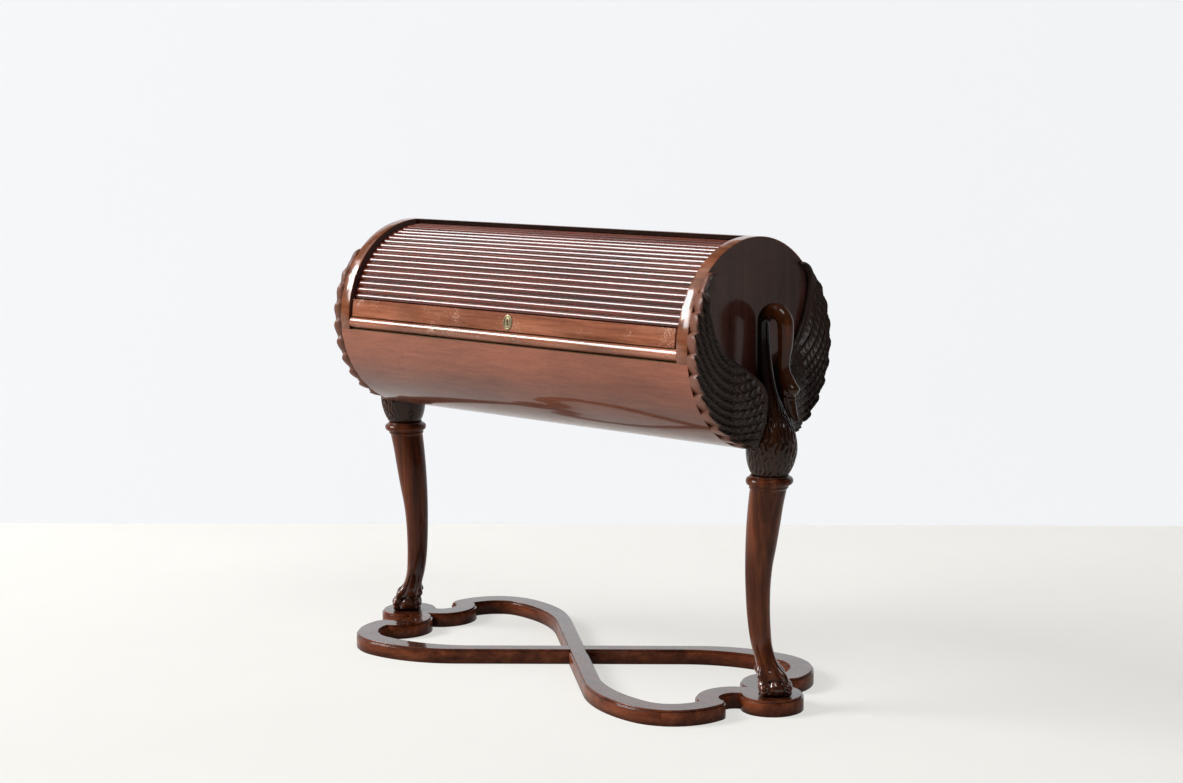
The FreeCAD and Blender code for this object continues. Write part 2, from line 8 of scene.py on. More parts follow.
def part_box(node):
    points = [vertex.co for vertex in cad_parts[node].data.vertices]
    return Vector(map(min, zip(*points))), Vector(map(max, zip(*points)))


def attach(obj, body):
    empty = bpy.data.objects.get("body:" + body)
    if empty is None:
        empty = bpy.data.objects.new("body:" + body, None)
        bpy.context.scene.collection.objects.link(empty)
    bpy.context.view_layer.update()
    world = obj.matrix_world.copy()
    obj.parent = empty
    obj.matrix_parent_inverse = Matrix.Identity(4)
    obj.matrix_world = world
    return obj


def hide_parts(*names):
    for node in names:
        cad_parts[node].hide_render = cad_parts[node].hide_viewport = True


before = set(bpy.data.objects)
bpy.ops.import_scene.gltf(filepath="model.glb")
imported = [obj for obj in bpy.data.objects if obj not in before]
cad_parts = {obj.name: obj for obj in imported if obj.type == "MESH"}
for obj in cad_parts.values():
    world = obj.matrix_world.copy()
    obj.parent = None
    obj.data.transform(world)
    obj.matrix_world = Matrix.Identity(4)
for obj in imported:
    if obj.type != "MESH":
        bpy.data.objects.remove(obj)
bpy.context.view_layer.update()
scene = bpy.context.scene

# All lengths are in metres. The drum lies along X and its front faces -Y.

# Places read from the frame
panel_low, panel_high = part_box("end_panel_right")
RADIUS = (panel_high.z - panel_low.z) / 2
AXIS_Z = (panel_high.z + panel_low.z) / 2
FACE = panel_high.x
BASE_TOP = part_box("base_end_right")[1].z
COLLAR_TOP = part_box("leg_right")[1].z
LEATHER_LOW, LEATHER_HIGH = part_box("writing_leather")
ENDS = {"right": 1, "left": -1}
SIDES = {"front": -1, "rear": 1}

# Camera
CAMERA_PLACE = (3.2912, -3.417, 1.3092)
CAMERA_YAW, CAMERA_PITCH, CAMERA_ROLL = 43.422, 8.409, -0.9
CAMERA_LENS, SENSOR_WIDTH = 66.735, 36.0

# Room and light; the wall meets the floor at these pixel rows on the photograph's left and right edge
FRAME_PIXELS = (1183, 783)
WALL_LINE_PIXELS = (523, 526)
FLOOR_REACH, WALL_HEIGHT, WALL_MARGIN = 30.0, 1.8, 2.5
# Lamps: name, place, target, size and power
LAMPS = (
    ("key", (-6.3, -4.7, 5.35), (0.0, 0.0, 0.75), (2.9, 3.4), 800.0),
    ("front", (-4.87, -6.55, 4.36), (0.0, 0.0, 0.5), (2.5, 2.5), 290.0),
    ("ceiling", (-2.2, -1.8, 4.8), (0.2, -0.2, 0.3), (4.0, 4.0), 45.0),
    ("side", (1.6, -1.0, 3.8), (0.55, -0.1, 0.6), (1.4, 1.4), 50.0),
)
WORLD_FILL, WORLD_GLOSS = 0.05, 0.1
WORLD_COLOUR = (0.97, 0.98, 1.0)
FLOOR_COLOUR, WALL_COLOUR = (0.74, 0.73, 0.7), (0.86, 0.87, 0.89)
FLOOR_GLOW, WALL_GLOW, GLOW_LEVEL = 0.6, 0.9, 0.96
STAIN_TONE = 0.93

# Wood colours, from dark grain to light
CASING_COLOURS = ((0.235, 0.068, 0.035), (0.278, 0.085, 0.045), (0.325, 0.105, 0.058))
RAIL_COLOURS = ((0.13, 0.036, 0.016), (0.27, 0.09, 0.045), (0.4, 0.165, 0.098))
TOP_COLOURS = ((0.075, 0.02, 0.0085), (0.165, 0.05, 0.023), (0.26, 0.095, 0.05))
SLAT_COLOURS = ((0.05, 0.0078, 0.0032), (0.11, 0.02, 0.0092), (0.19, 0.046, 0.023))
PANEL_COLOURS = ((0.028, 0.0085, 0.006), (0.055, 0.017, 0.012), (0.084, 0.029, 0.021))
RIM_COLOURS = ((0.095, 0.027, 0.0095), (0.185, 0.056, 0.021), (0.29, 0.105, 0.052))
CARVED_COLOURS = ((0.009, 0.005, 0.0042), (0.021, 0.011, 0.0084), (0.04, 0.02, 0.0145))
NECK_COLOURS = ((0.018, 0.004, 0.0011), (0.055, 0.013, 0.0026), (0.125, 0.033, 0.0068))
LEG_COLOURS = ((0.018, 0.004, 0.0012), (0.082, 0.019, 0.0062), (0.205, 0.057, 0.021))
BASE_COLOURS = ((0.055, 0.0115, 0.004), (0.142, 0.035, 0.013), (0.255, 0.074, 0.031))
INTERIOR_COLOURS = ((0.1, 0.038, 0.02), (0.19, 0.08, 0.043), (0.28, 0.13, 0.075))
SECONDARY_COLOURS = ((0.22, 0.13, 0.066), (0.34, 0.21, 0.115), (0.44, 0.29, 0.17))
# Rubbed wear, and the painted reflection at the top of the end panel's face
RUBBED, RIM_RUBBED, PANEL_PAINTED_REFLECTION = (0.62, 0.42, 0.33), (0.55, 0.33, 0.22), (0.1, 0.07, 0.064)

# Points on smoothed curves
STEPS_PER_KNOT, PROFILE_STEPS = 40, 400


def smooth_path(points, count):
    """count points, evenly spaced, on a curve that passes smoothly through the given ones."""
    knots = np.array(points, float)
    knots = np.vstack([2 * knots[0] - knots[1], knots, 2 * knots[-1] - knots[-2]])
    steps = np.linspace(0, len(points) - 1, STEPS_PER_KNOT * len(points))
    first = np.minimum(steps.astype(int), len(points) - 2)
    t = (steps - first)[:, None]
    a, b, c, d = (knots[first + i] for i in range(4))
    curve = 0.5 * (2 * b + (c - a) * t + (2 * a - 5 * b + 4 * c - d) * t**2 + (3 * b - a - 3 * c + d) * t**3)
    return evenly(curve, count)


def lengths_along(curve):
    """How far along the curve each point is, in its first two coordinates."""
    return np.concatenate([[0], np.cumsum(np.linalg.norm(np.diff(curve[:, :2], axis=0), axis=1))])


def evenly(curve, count):
    """The curve's points spaced evenly along its first two coordinates."""
    along = lengths_along(curve)
    wanted = np.linspace(0, along[-1], count)
    return np.column_stack([np.interp(wanted, along, column) for column in curve.T])


def smooth_step(low, high, value):
    t = np.clip((value - low) / (high - low), 0, 1)
    return t * t * (3 - 2 * t)


def bump_at(distance, width):
    return np.exp(-((distance / width) ** 2))


def profile(table, value):
    """Smoothed value of a two-column table."""
    curve = smooth_path(table, PROFILE_STEPS)
    return np.interp(value, curve[:, 0], curve[:, 1])


def places(x, y, z):
    """A grid of points from their three coordinates."""
    return np.stack(np.broadcast_arrays(x, y, z), axis=-1)


def grid_faces(rows, columns):
    """Quads between neighbouring rings of points."""
    r, c = np.meshgrid(np.arange(rows - 1), np.arange(columns), indexing="ij")
    d = (c + 1) % columns
    here, above = r * columns, (r + 1) * columns
    quads = np.stack([here + c, here + d, above + d, above + c], axis=-1)
    return quads.reshape(-1, 4).tolist()


def full_turn(count):
    """Angles of the spokes of a ring."""
    return np.linspace(0, 2 * math.pi, count, endpoint=False)


def tube_faces(rows, columns):
    """A closed tube's faces, with a cap at each end."""
    first = list(range(columns))[::-1]
    last = [(rows - 1) * columns + c for c in range(columns)]
    return grid_faces(rows, columns) + [first, last]


def add_piece(name, points, faces, material, body, slot, stands_for=()):
    """A smooth mesh object that rides on a body."""
    mesh = bpy.data.meshes.new(name)
    mesh.from_pydata(points.reshape(-1, 3).tolist(), [], faces)
    mesh.materials.append(MATERIALS[material])
    mesh.polygons.foreach_set("use_smooth", [True] * len(mesh.polygons))
    mesh.update()
    piece = bpy.data.objects.new(name, mesh)
    scene.collection.objects.link(piece)
    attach(piece, body)
    if stands_for:
        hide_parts(*stands_for)
    return piece


def cad_corners(name):
    """Corners of a CAD node, measured from the drum's axis."""
    return np.array([v.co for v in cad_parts[name].data.vertices]) - (0, 0, AXIS_Z)


def mirrored(points, faces, x_sign, y_sign):
    """The points and faces flipped to another end or side, with the faces still looking out."""
    flipped = points * (x_sign, y_sign, 1)
    if x_sign * y_sign > 0:
        return flipped, faces
    return flipped, [face[::-1] for face in faces]


# Materials

LENGTHWISE, UPRIGHT = 0, 2
# Heights between which the painted light, shade and reflection, or the polish, change
CASING_HEIGHTS = AXIS_Z - 0.16, AXIS_Z - 0.05
BREAST_HEIGHTS = AXIS_Z - 0.16, AXIS_Z - 0.08
CREST_HEIGHTS = AXIS_Z - 0.1, AXIS_Z + 0.03
PAINTED_REFLECTION_HEIGHTS = AXIS_Z + 0.05, AXIS_Z + 0.2
FOOT_HEIGHTS = BASE_TOP + 0.05, BASE_TOP + 0.13
BASE_HEIGHTS = 0.004, BASE_TOP - 0.012
# Distances from the desk's middle, then from the drum's axis, between which the painted shade on the neck and
# the rims' colours change
ARM_PLACES = FACE + 0.03, FACE + 0.06
RIM_REACH = RADIUS - 0.0022, RADIUS - 0.0008
WALL_REACH = RADIUS - 0.009, RADIUS - 0.006
# A carved wall's normal hardly points along the drum: from no wall to all wall
WALL_TILT = 0.35, 0.12
# Painted shade on the neck beside the panel; share of painted reflection at the top of the panel's face
INNER_ARM_SHADE, PAINTED_REFLECTION_SHARE = 0.1, 0.55
CARVED_COAT, PANEL_COAT, RIM_COAT = 0.4, 0.6, 1.0
# Gold lines tooled into the leather: their outer and inner side, in from its edge
TOOLED_LINES = ((0.009, 0.0104), (0.0125, 0.0132))


def plug(tree, node, key, value):
    """Sets a node's input to a value, or links it to another node's output."""
    if isinstance(value, bpy.types.NodeSocket):
        tree.links.new(value, node.inputs[key])
    else:
        node.inputs[key].default_value = value


def add(tree, kind, out=0, inputs=None, **settings):
    """Adds a shader node and returns one of its outputs."""
    node = tree.nodes.new("ShaderNode" + kind)
    for key, value in settings.items():
        setattr(node, key, value)
    for key, value in (inputs or {}).items():
        plug(tree, node, key, value)
    return node.outputs[out]


def shade(tree, shader, inputs):
    """Sets or links several inputs of a shader."""
    for key, value in inputs.items():
        plug(tree, shader, key, value)


def rgba(colour):
    return (*colour, 1.0)


def mix(tree, factor, a, b, blend="MIX"):
    values = {0: factor, 6: a, 7: b}
    return add(tree, "Mix", 2, values, data_type="RGBA", blend_type=blend)


def maths(tree, operation, a, b=0.0):
    return add(tree, "Math", 0, {0: a, 1: b}, operation=operation)


def times(tree, a, b):
    return maths(tree, "MULTIPLY", a, b)


def map_range(tree, value, span, start=0.0, end=1.0):
    """Runs from start to end as the value goes over a span."""
    return add(tree, "MapRange", 0, {0: value, 1: span[0], 2: span[1], 3: start, 4: end})


def coordinate(tree, vector, axis):
    return add(tree, "SeparateXYZ", axis, {"Vector": vector})


def by_height(tree, coords, span, start=0.0, end=1.0):
    return map_range(tree, coordinate(tree, coords, "Z"), span, start, end)


def ramp(tree, factor, stops):
    """A colour ramp from (place, colour) stops."""
    node = tree.nodes.new("ShaderNodeValToRGB")
    tree.links.new(factor, node.inputs[0])
    elements = node.color_ramp.elements
    while len(elements) < len(stops):
        elements.new(0.5)
    for element, (place, colour) in zip(elements, stops):
        element.position = place
        element.color = rgba(colour)
    return node.outputs[0]


def grey_ramp(tree, factor, stops):
    return ramp(tree, factor, [(place, (value,) * 3) for place, value in stops])


def noise(tree, coords, scale, detail=4.0, roughness=0.55, stretch=(1, 1, 1)):
    mapped = add(tree, "Mapping", 0, {"Vector": coords, "Scale": stretch})
    values = {"Vector": mapped, "Scale": scale, "Detail": detail, "Roughness": roughness}
    return add(tree, "TexNoise", "Fac", values)


def bumps(tree, height, strength, distance):
    return add(tree, "Bump", 0, {"Height": height, "Strength": strength, "Distance": distance})


def toned(tree, colour, tone):
    """The colour multiplied by a grey tone."""
    grey = add(tree, "CombineColor", 0, {channel: tone for channel in range(3)})
    return mix(tree, 1.0, colour, grey, "MULTIPLY")


def new_material(name):
    """A new material with its tree, its shader node and the frame's coordinates."""
    material = bpy.data.materials.new(name)
    material.use_nodes = True
    tree = material.node_tree
    coords = add(tree, "TexCoord", "Object")
    return material, tree, tree.nodes["Principled BSDF"], coords


def along_grain(axis, along, across):
    """Texture stretch with long streaks along one axis."""
    return tuple(along if i == axis else across for i in range(3))


def wood_colour(tree, coords, colours, grain_axis, mottle=0.5, pores=0.35, figure=(2.2, 42)):
    """Mahogany: long streaks, slow mottling and short dark pores."""
    streaks = noise(tree, coords, 1.0, 5.0, 0.6, along_grain(grain_axis, *figure))
    dark, middle, light = colours
    colour = ramp(tree, streaks, [(0.28, dark), (0.5, middle), (0.74, light)])
    cloud = noise(tree, coords, 1.0, 3.0, 0.5, along_grain(grain_axis, 4.0, 11))
    clouds = grey_ramp(tree, cloud, [(0.3, 0.55), (0.62, 1.15)])
    colour = mix(tree, mottle, colour, clouds, "MULTIPLY")
    flecks = noise(tree, coords, 1.0, 2.0, 0.5, along_grain(grain_axis, 55, 900))
    pits = grey_ramp(tree, flecks, [(0.34, 0.35), (0.46, 1.0)])
    return mix(tree, pores, colour, pits, "MULTIPLY"), flecks


def finish_wood(
    tree, shader, coords, colour, flecks, coat, roughness=(0.26, 0.42), bump=0.12, haze=0.06, coat_ior=1.5,
    satin=0.05,
):
    """Polish over the wood: a clear coat, uneven roughness and open pores."""
    smear = noise(tree, coords, 14.0, 4.0, 0.6)
    low, high = roughness
    ripple = noise(tree, coords, 60.0, 3.0, 0.5)
    height = maths(tree, "ADD", times(tree, flecks, 0.35), ripple)
    shade(tree, shader, {
        "Base Color": colour,
        "Roughness": grey_ramp(tree, smear, [(0.3, low), (0.7, high)]),
        "Normal": bumps(tree, height, bump, 0.0006),
        "Coat Weight": coat,
        "Coat Roughness": haze,
        "Coat IOR": coat_ior,
        "Specular IOR Level": satin,
    })


def worn(tree, coords, colour, tint, scale, share, amount):
    """Pale speckle where the polish has rubbed off."""
    specks = times(tree, noise(tree, coords, scale, 6.0, 0.75), 0.6)
    patches = times(tree, noise(tree, coords, scale / 24, 3.0, 0.6), 0.4)
    together = maths(tree, "ADD", specks, patches)
    mask = grey_ramp(tree, together, [(0.6 - share, 0.0), (0.66 - share, 1.0)])
    return mix(tree, times(tree, mask, amount), colour, rgba(tint))


def paint_hollow_shade(tree, colour, reach, amount):
    """Darkens the hollows by how enclosed they are: painted shade."""
    open_sky = add(tree, "AmbientOcclusion", "AO", {"Distance": reach}, samples=6)
    return mix(tree, amount, colour, grey_ramp(tree, open_sky, [(0.2, 0.1), (0.8, 1.0)]), "MULTIPLY")


def polished_wood(
    name, colours, grain_axis=LENGTHWISE, coat=0.32, mottle=0.5, figure=(2.2, 42), wear=None, hollow_shade_reach=0.0,
    shaded=None, facing=None, foot_coat=None, **finish,
):
    """Polished mahogany; shaded and facing add painted shade (facing also changes the polish), foot_coat
    polishes a leg's foot.
    """
    material, tree, shader, coords = new_material(name)
    colour, flecks = wood_colour(tree, coords, colours, grain_axis, mottle, figure=figure)
    if wear:
        colour = worn(tree, coords, colour, *wear)
    # Painted shade: darker lower down
    if shaded:
        colour = toned(tree, colour, by_height(tree, coords, *shaded))
    # Painted shade in the hollows
    if hollow_shade_reach:
        colour = paint_hollow_shade(tree, colour, hollow_shade_reach, 0.8)
    polish = coat
    # Painted shade on faces turned one way, which also get another polish
    if facing:
        axis, span, tone, turned_coat = facing
        side = coordinate(tree, add(tree, "NewGeometry", "True Normal"), axis)
        colour = toned(tree, colour, map_range(tree, side, span, 1.0, tone))
        polish = map_range(tree, side, span, coat, turned_coat)
    if foot_coat:
        polish = by_height(tree, coords, FOOT_HEIGHTS, foot_coat, coat)
    finish_wood(tree, shader, coords, colour, flecks, coat, **finish)
    plug(tree, shader, "Coat Weight", polish)
    return material


def from_axis(tree, coords):
    """Distance from the drum's axis."""
    y = coordinate(tree, coords, "Y")
    up = maths(tree, "SUBTRACT", coordinate(tree, coords, "Z"), AXIS_Z)
    squares = (times(tree, side, side) for side in (y, up))
    return maths(tree, "SQRT", maths(tree, "ADD", *squares))


def neck_light_and_shade(tree, coords, tone):
    """Painted light and shade on a swan: lighter on its crest, where light falls from above, and almost black
    with painted shade on the neck beside the panel.
    """
    painted_crest_light = by_height(tree, coords, CREST_HEIGHTS, tone)
    out = maths(tree, "ABSOLUTE", coordinate(tree, coords, "X"))
    outer_arm = map_range(tree, out, ARM_PLACES, INNER_ARM_SHADE)
    in_breast = maths(tree, "SUBTRACT", 1.0, by_height(tree, coords, BREAST_HEIGHTS))
    return times(tree, painted_crest_light, maths(tree, "MAXIMUM", outer_arm, in_breast))


def on_rim_wall(tree, coords):
    """1 on the carving's upright wall along the drum's rim."""
    across = maths(tree, "ABSOLUTE", coordinate(tree, add(tree, "NewGeometry", "True Normal"), "X"))
    upright = map_range(tree, across, WALL_TILT)
    return times(tree, upright, map_range(tree, from_axis(tree, coords), WALL_REACH))


def carved_wood(name, colours, roughness, haze, ridge_wear_and_sheen, edge, hollow_shade_reach, wall=None, shaded=None):
    """Dark carved wood: painted shade makes the cuts black; the ridges are paler and browner, from wear and a
    painted sheen.
    """
    material, tree, shader, coords = new_material(name)
    colour, flecks = wood_colour(tree, coords, colours, UPRIGHT, 0.6)
    # Painted light on the swan's crest and painted shade beside the panel
    if shaded:
        colour = toned(tree, colour, neck_light_and_shade(tree, coords, shaded))
    # Ridges paler and greyer: wear, with a painted sheen
    ridges = grey_ramp(tree, add(tree, "NewGeometry", "Pointiness"), [(0.5, 0.0), (0.58, 1.0)])
    colour = mix(tree, times(tree, ridges, ridge_wear_and_sheen), colour, rgba(edge))
    # Painted shade: the cuts go near black
    colour = paint_hollow_shade(tree, colour, hollow_shade_reach, 0.9)
    # The rim walls a paler brown: wear, with painted light
    if wall:
        colour = mix(tree, on_rim_wall(tree, coords), colour, rgba(wall))
    finish_wood(tree, shader, coords, colour, flecks, CARVED_COAT, roughness, 0.3, haze)
    return material


def panel_wood(name):
    """End panel: dark polished face with upright grain, paler and greyer at the top with a painted
    reflection, and an orange, rubbed rim.
    """
    material, tree, shader, coords = new_material(name)
    face, flecks = wood_colour(tree, coords, PANEL_COLOURS, UPRIGHT, 0.6, 0.25)
    # Painted reflection: the top of the face paler and greyer
    face = mix(tree, by_height(tree, coords, PAINTED_REFLECTION_HEIGHTS, 0.0, PAINTED_REFLECTION_SHARE), face, rgba(PANEL_PAINTED_REFLECTION))
    rim = wood_colour(tree, coords, RIM_COLOURS, LENGTHWISE, 0.4)[0]
    rim = worn(tree, coords, rim, RIM_RUBBED, 420.0, -0.03, 0.25)
    on_rim = map_range(tree, from_axis(tree, coords), RIM_REACH)
    colour = mix(tree, on_rim, face, rim)
    finish_wood(tree, shader, coords, colour, flecks, PANEL_COAT, (0.22, 0.34), 0.1, 0.15)
    plug(tree, shader, "Coat Weight", map_range(tree, on_rim, (0.0, 1.0), PANEL_COAT, RIM_COAT))
    return material


def brass(name):
    """Old brass: dull and green-brown in the hollows, brighter where it is touched."""
    material, tree, shader, coords = new_material(name)
    patina = noise(tree, coords, 260.0, 6.0, 0.65)
    stops = [(0.3, (0.09, 0.075, 0.045)), (0.52, (0.27, 0.22, 0.125)), (0.72, (0.46, 0.39, 0.25))]
    shade(tree, shader, {
        "Base Color": ramp(tree, patina, stops),
        "Roughness": grey_ramp(tree, patina, [(0.3, 0.55), (0.7, 0.28)]),
        "Normal": bumps(tree, patina, 0.2, 0.0003),
        "Metallic": 0.9,
    })
    return material


def steel(name):
    """Dark lock steel with brushed streaks."""
    material, tree, shader, coords = new_material(name)
    brushed = noise(tree, coords, 1.0, 4.0, 0.6, (40, 900, 900))
    shade(tree, shader, {
        "Base Color": ramp(tree, brushed, [(0.3, (0.16, 0.155, 0.15)), (0.7, (0.34, 0.335, 0.33))]),
        "Roughness": grey_ramp(tree, brushed, [(0.3, 0.5), (0.7, 0.32)]),
        "Metallic": 1.0,
    })
    return material


def inside(tree, value, low, high):
    """1 where the value lies between two bounds."""
    over, under = maths(tree, "GREATER_THAN", value, low), maths(tree, "LESS_THAN", value, high)
    return times(tree, over, under)


def from_edge(tree, coords, axis, centre, half):
    """Distance in from the nearer end of a piece along one axis."""
    off_centre = maths(tree, "SUBTRACT", coordinate(tree, coords, axis), centre)
    return maths(tree, "SUBTRACT", half, maths(tree, "ABSOLUTE", off_centre))


def gold_lines(tree, coords):
    """1 on the tooled lines round the leather, less where they are rubbed."""
    centre, half = (LEATHER_LOW + LEATHER_HIGH) / 2, (LEATHER_HIGH - LEATHER_LOW) / 2
    from_side = from_edge(tree, coords, "X", centre.x, half.x)
    from_front = from_edge(tree, coords, "Y", centre.y, half.y)
    border = maths(tree, "MINIMUM", from_side, from_front)
    lines = maths(tree, "ADD", *(inside(tree, border, *line) for line in TOOLED_LINES))
    rubbed = grey_ramp(tree, noise(tree, coords, 160.0), [(0.35, 0.2), (0.6, 1.0)])
    return times(tree, lines, rubbed)


def leather(name):
    """Green writing leather with a fine grain and tooled gold lines round it."""
    material, tree, shader, coords = new_material(name)
    cells = add(tree, "TexVoronoi", "Distance", {"Vector": coords, "Scale": 700.0})
    fade = noise(tree, coords, 9.0, 5.0, 0.6)
    colour = ramp(tree, fade, [(0.3, (0.02, 0.045, 0.026)), (0.7, (0.052, 0.085, 0.045))])
    shade(tree, shader, {
        "Base Color": mix(tree, gold_lines(tree, coords), colour, rgba((0.48, 0.34, 0.12))),
        "Roughness": grey_ramp(tree, fade, [(0.3, 0.42), (0.7, 0.6)]),
        "Normal": bumps(tree, cells, 0.35, 0.0004),
    })
    return material


def canvas(name):
    """Unbleached linen canvas in a plain weave."""
    material, tree, shader, coords = new_material(name)
    threads = {"Vector": coords, "Scale": 190.0}
    warp, weft = (add(tree, "TexWave", "Fac", threads, bands_direction=axis) for axis in "XZ")
    weave = times(tree, warp, weft)
    slubs = noise(tree, coords, 1.0, 3.0, 0.6, (30, 300, 300))
    colour = ramp(tree, slubs, [(0.3, (0.33, 0.26, 0.17)), (0.7, (0.5, 0.42, 0.3))])
    shade(tree, shader, {
        "Base Color": mix(tree, 0.35, colour, weave, "MULTIPLY"),
        "Roughness": 0.9,
        "Normal": bumps(tree, weave, 0.6, 0.0004),
    })
    return material


MATERIALS = {
    # Casing: painted shade darkens it towards the underside
    "casing": polished_wood(
        "mahogany_casing", CASING_COLOURS, coat=0.7, bump=0.08, figure=(11, 110),
        wear=((0.56, 0.22, 0.1), 260.0, -0.01, 0.55), shaded=(CASING_HEIGHTS, 0.5),
    ),
    "rail": polished_wood(
        "mahogany_rail", RAIL_COLOURS, coat=0.6, coat_ior=1.6, mottle=0.9, figure=(4, 70),
        wear=((0.74, 0.46, 0.35), 300.0, 0.035, 0.75), hollow_shade_reach=0.007,
    ),
    # Top rail: painted shadow makes its front faces near black
    "top": polished_wood(
        "mahogany_top_rail", TOP_COLOURS, coat=0.4,
        wear=(RUBBED, 300.0, 0.0, 0.3), facing=("Y", (-0.3, -0.7), 0.1, 0.0),
    ),
    "slat": polished_wood(
        "mahogany_slat", SLAT_COLOURS, coat=0.78, roughness=(0.2, 0.34), bump=0.03, haze=0.11, satin=0.03,
        wear=(RUBBED, 420.0, -0.03, 0.25), hollow_shade_reach=0.011,
    ),
    "panel": panel_wood("mahogany_panel"),
    "carved": carved_wood(
        "mahogany_carved", CARVED_COLOURS, roughness=(0.3, 0.46), haze=0.42, ridge_wear_and_sheen=0.8,
        edge=(0.15, 0.092, 0.074), hollow_shade_reach=0.012, wall=(0.15, 0.058, 0.036),
    ),
    "swan": carved_wood(
        "mahogany_neck", NECK_COLOURS, roughness=(0.2, 0.36), haze=0.09, ridge_wear_and_sheen=0.2,
        edge=(0.16, 0.07, 0.035), hollow_shade_reach=0.045, shaded=0.42,
    ),
    "leg": polished_wood(
        "mahogany_turned", LEG_COLOURS, UPRIGHT, coat=0.22, roughness=(0.24, 0.4), bump=0.1, mottle=0.6,
        wear=(RUBBED, 360.0, -0.07, 0.25), hollow_shade_reach=0.012, foot_coat=1.0,
    ),
    # Base: painted shade low on the sides and on the tops that face up
    "base": polished_wood(
        "mahogany_base", BASE_COLOURS, coat=0.12, roughness=(0.22, 0.4), bump=0.1, mottle=0.6, figure=(3, 60),
        wear=((0.46, 0.18, 0.075), 110.0, -0.02, 0.4), hollow_shade_reach=0.03, shaded=(BASE_HEIGHTS, 0.7),
        facing=("Z", (0.3, 0.8), 0.4, 1.0),
    ),
    "interior": polished_wood("mahogany_interior", INTERIOR_COLOURS),
    "secondary": polished_wood(
        "secondary_wood", SECONDARY_COLOURS, coat=0.0, roughness=(0.5, 0.7), bump=0.2, hollow_shade_reach=0.02,
    ),
    "brass": brass("aged_brass"),
    "steel": steel("bolt_steel"),
    "leather": leather("writing_leather"),
    "canvas": canvas("linen_canvas"),
}

# Dressing of the CAD nodes: start of the node's name, material and any edge rounding
DRESSING = (
    ("end_panel", "panel", 0.0016),
    ("casing_staves", "secondary"),
    ("casing_veneer", "casing"),
    ("top_rail", "top"),
    ("front_rail", "secondary", 0.0012),
    ("inner_", "interior", 0.0008),
    ("board_runners", "secondary", 0.001),
    ("drawer_case", "interior", 0.001),
    ("writing_board", "interior", 0.0012),
    ("writing_leather", "leather"),
    ("board_nosing", "rail"),
    ("lock_rail", "rail"),
    ("lock_case", "brass", 0.0004),
    ("lock_bolt", "steel", 0.0004),
    ("escutcheon", "brass", 0.0003),
    ("canvas_backing", "canvas"),
    ("slat_", "slat"),
    ("swan_", "swan"),
    ("wing_", "carved"),
    ("leg_dowels", "secondary", 0.0005),
    ("leg_", "leg"),
    ("base_", "base", 0.0012),
)
# The same for the drawers, by the end of the node's name
DRAWER_DRESSING = (("_front", "interior", 0.001), ("_box", "secondary", 0.0008), ("_knob", "brass"))
WELD_REACH, ROUNDING_STEPS, SHARP_ANGLE = 1e-5, 3, 35


def dress(node, material, rounding=0.0):
    """Gives a CAD node its material and softens its sharp edges."""
    node.data.materials.clear()
    node.data.materials.append(MATERIALS[material])
    if not rounding:
        return
    weld = node.modifiers.new("weld", "WELD")
    weld.merge_threshold = WELD_REACH
    bevel = node.modifiers.new("rounding", "BEVEL")
    bevel.width = rounding
    bevel.segments = ROUNDING_STEPS
    bevel.limit_method = "ANGLE"
    bevel.angle_limit = math.radians(SHARP_ANGLE)
    bevel.harden_normals = True


def dress_nodes():
    """Dresses every node by the first row that fits its name."""
    for name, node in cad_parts.items():
        table = DRAWER_DRESSING if name.startswith(("drawer_l", "drawer_m", "drawer_r")) else DRESSING
        row = next(r for r in table if name.startswith(r[0]) or name.endswith(r[0]))
        dress(node, *row[1:])


dress_nodes()

# Wings: inner edge as shares of the drum's radius, out from the axis and up
WING_INNER = (
    (0.242, -0.958), (0.219, -0.86), (0.177, -0.749), (0.149, -0.619), (0.13, -0.512), (0.14, -0.419),
    (0.186, -0.326), (0.279, -0.223), (0.419, -0.121), (0.521, -0.051), (0.628, 0.102), (0.698, 0.242),
    (0.749, 0.433), (0.753, 0.567), (0.698, 0.656), (0.623, 0.698),
)
WING_TIP_CURVE = ((0.772, 0.641), (0.735, 0.692), (0.68, 0.715), (0.623, 0.698))
WING_ROOT_ANGLE, WING_RIM_END = -77.0, 39.7
TIP_FADE = 38, 26
WING_INNER_HEIGHT = (
    (0.0, 0.036), (0.1, 0.046), (0.2, 0.049), (0.3, 0.044), (0.4, 0.026), (0.5, 0.015), (0.6, 0.011),
    (0.8, 0.009), (1.0, 0.008),
)
WING_OUTER_HEIGHT = ((0.0, 0.027), (0.25, 0.023), (0.55, 0.019), (0.8, 0.014), (0.92, 0.01), (1.0, 0.008))
TOOTH_LOW, TOOTH_HIGH, TOOTH_CREST = -0.0042, 0.0018, 0.74
WING_STEPS, WING_LANES, RIM_STEPS, TIP_STEPS = 460, 96, 300, 60
EDGE_LANES = np.array((0, 0.05, 0.2, 0.5, 1.0))
STRAND_WIDTH, STRAND_SPREAD, STRAND_RIM = 0.012, 0.15, 0.042
STRAND_HEIGHT, QUILL_HEIGHT, BARB_DEPTH = 0.0058, 0.0016, 0.0042
BARB_PITCH, SCALE_PITCH, SCALE_COLUMN = 0.0175, 0.015, 0.0275
INNER_ROUND, OUTER_ROUND = 0.0024, 0.003
WING_CROWN, WING_LEAST, WING_GAP = 0.008, 0.002, 0.0001
BEAD_WIDTH, BEAD_HEIGHT = 0.0058, 0.0065
# The crack down the wing parts the long feathers from the scales
CRACK_OUT, CRACK_DEPTH, CRACK_WIDTH = 0.117, 0.004, 0.001
SEAM_DEPTH, SEAM_WIDTH, SEAM_WAVE = 0.003, 0.0009, 0.037


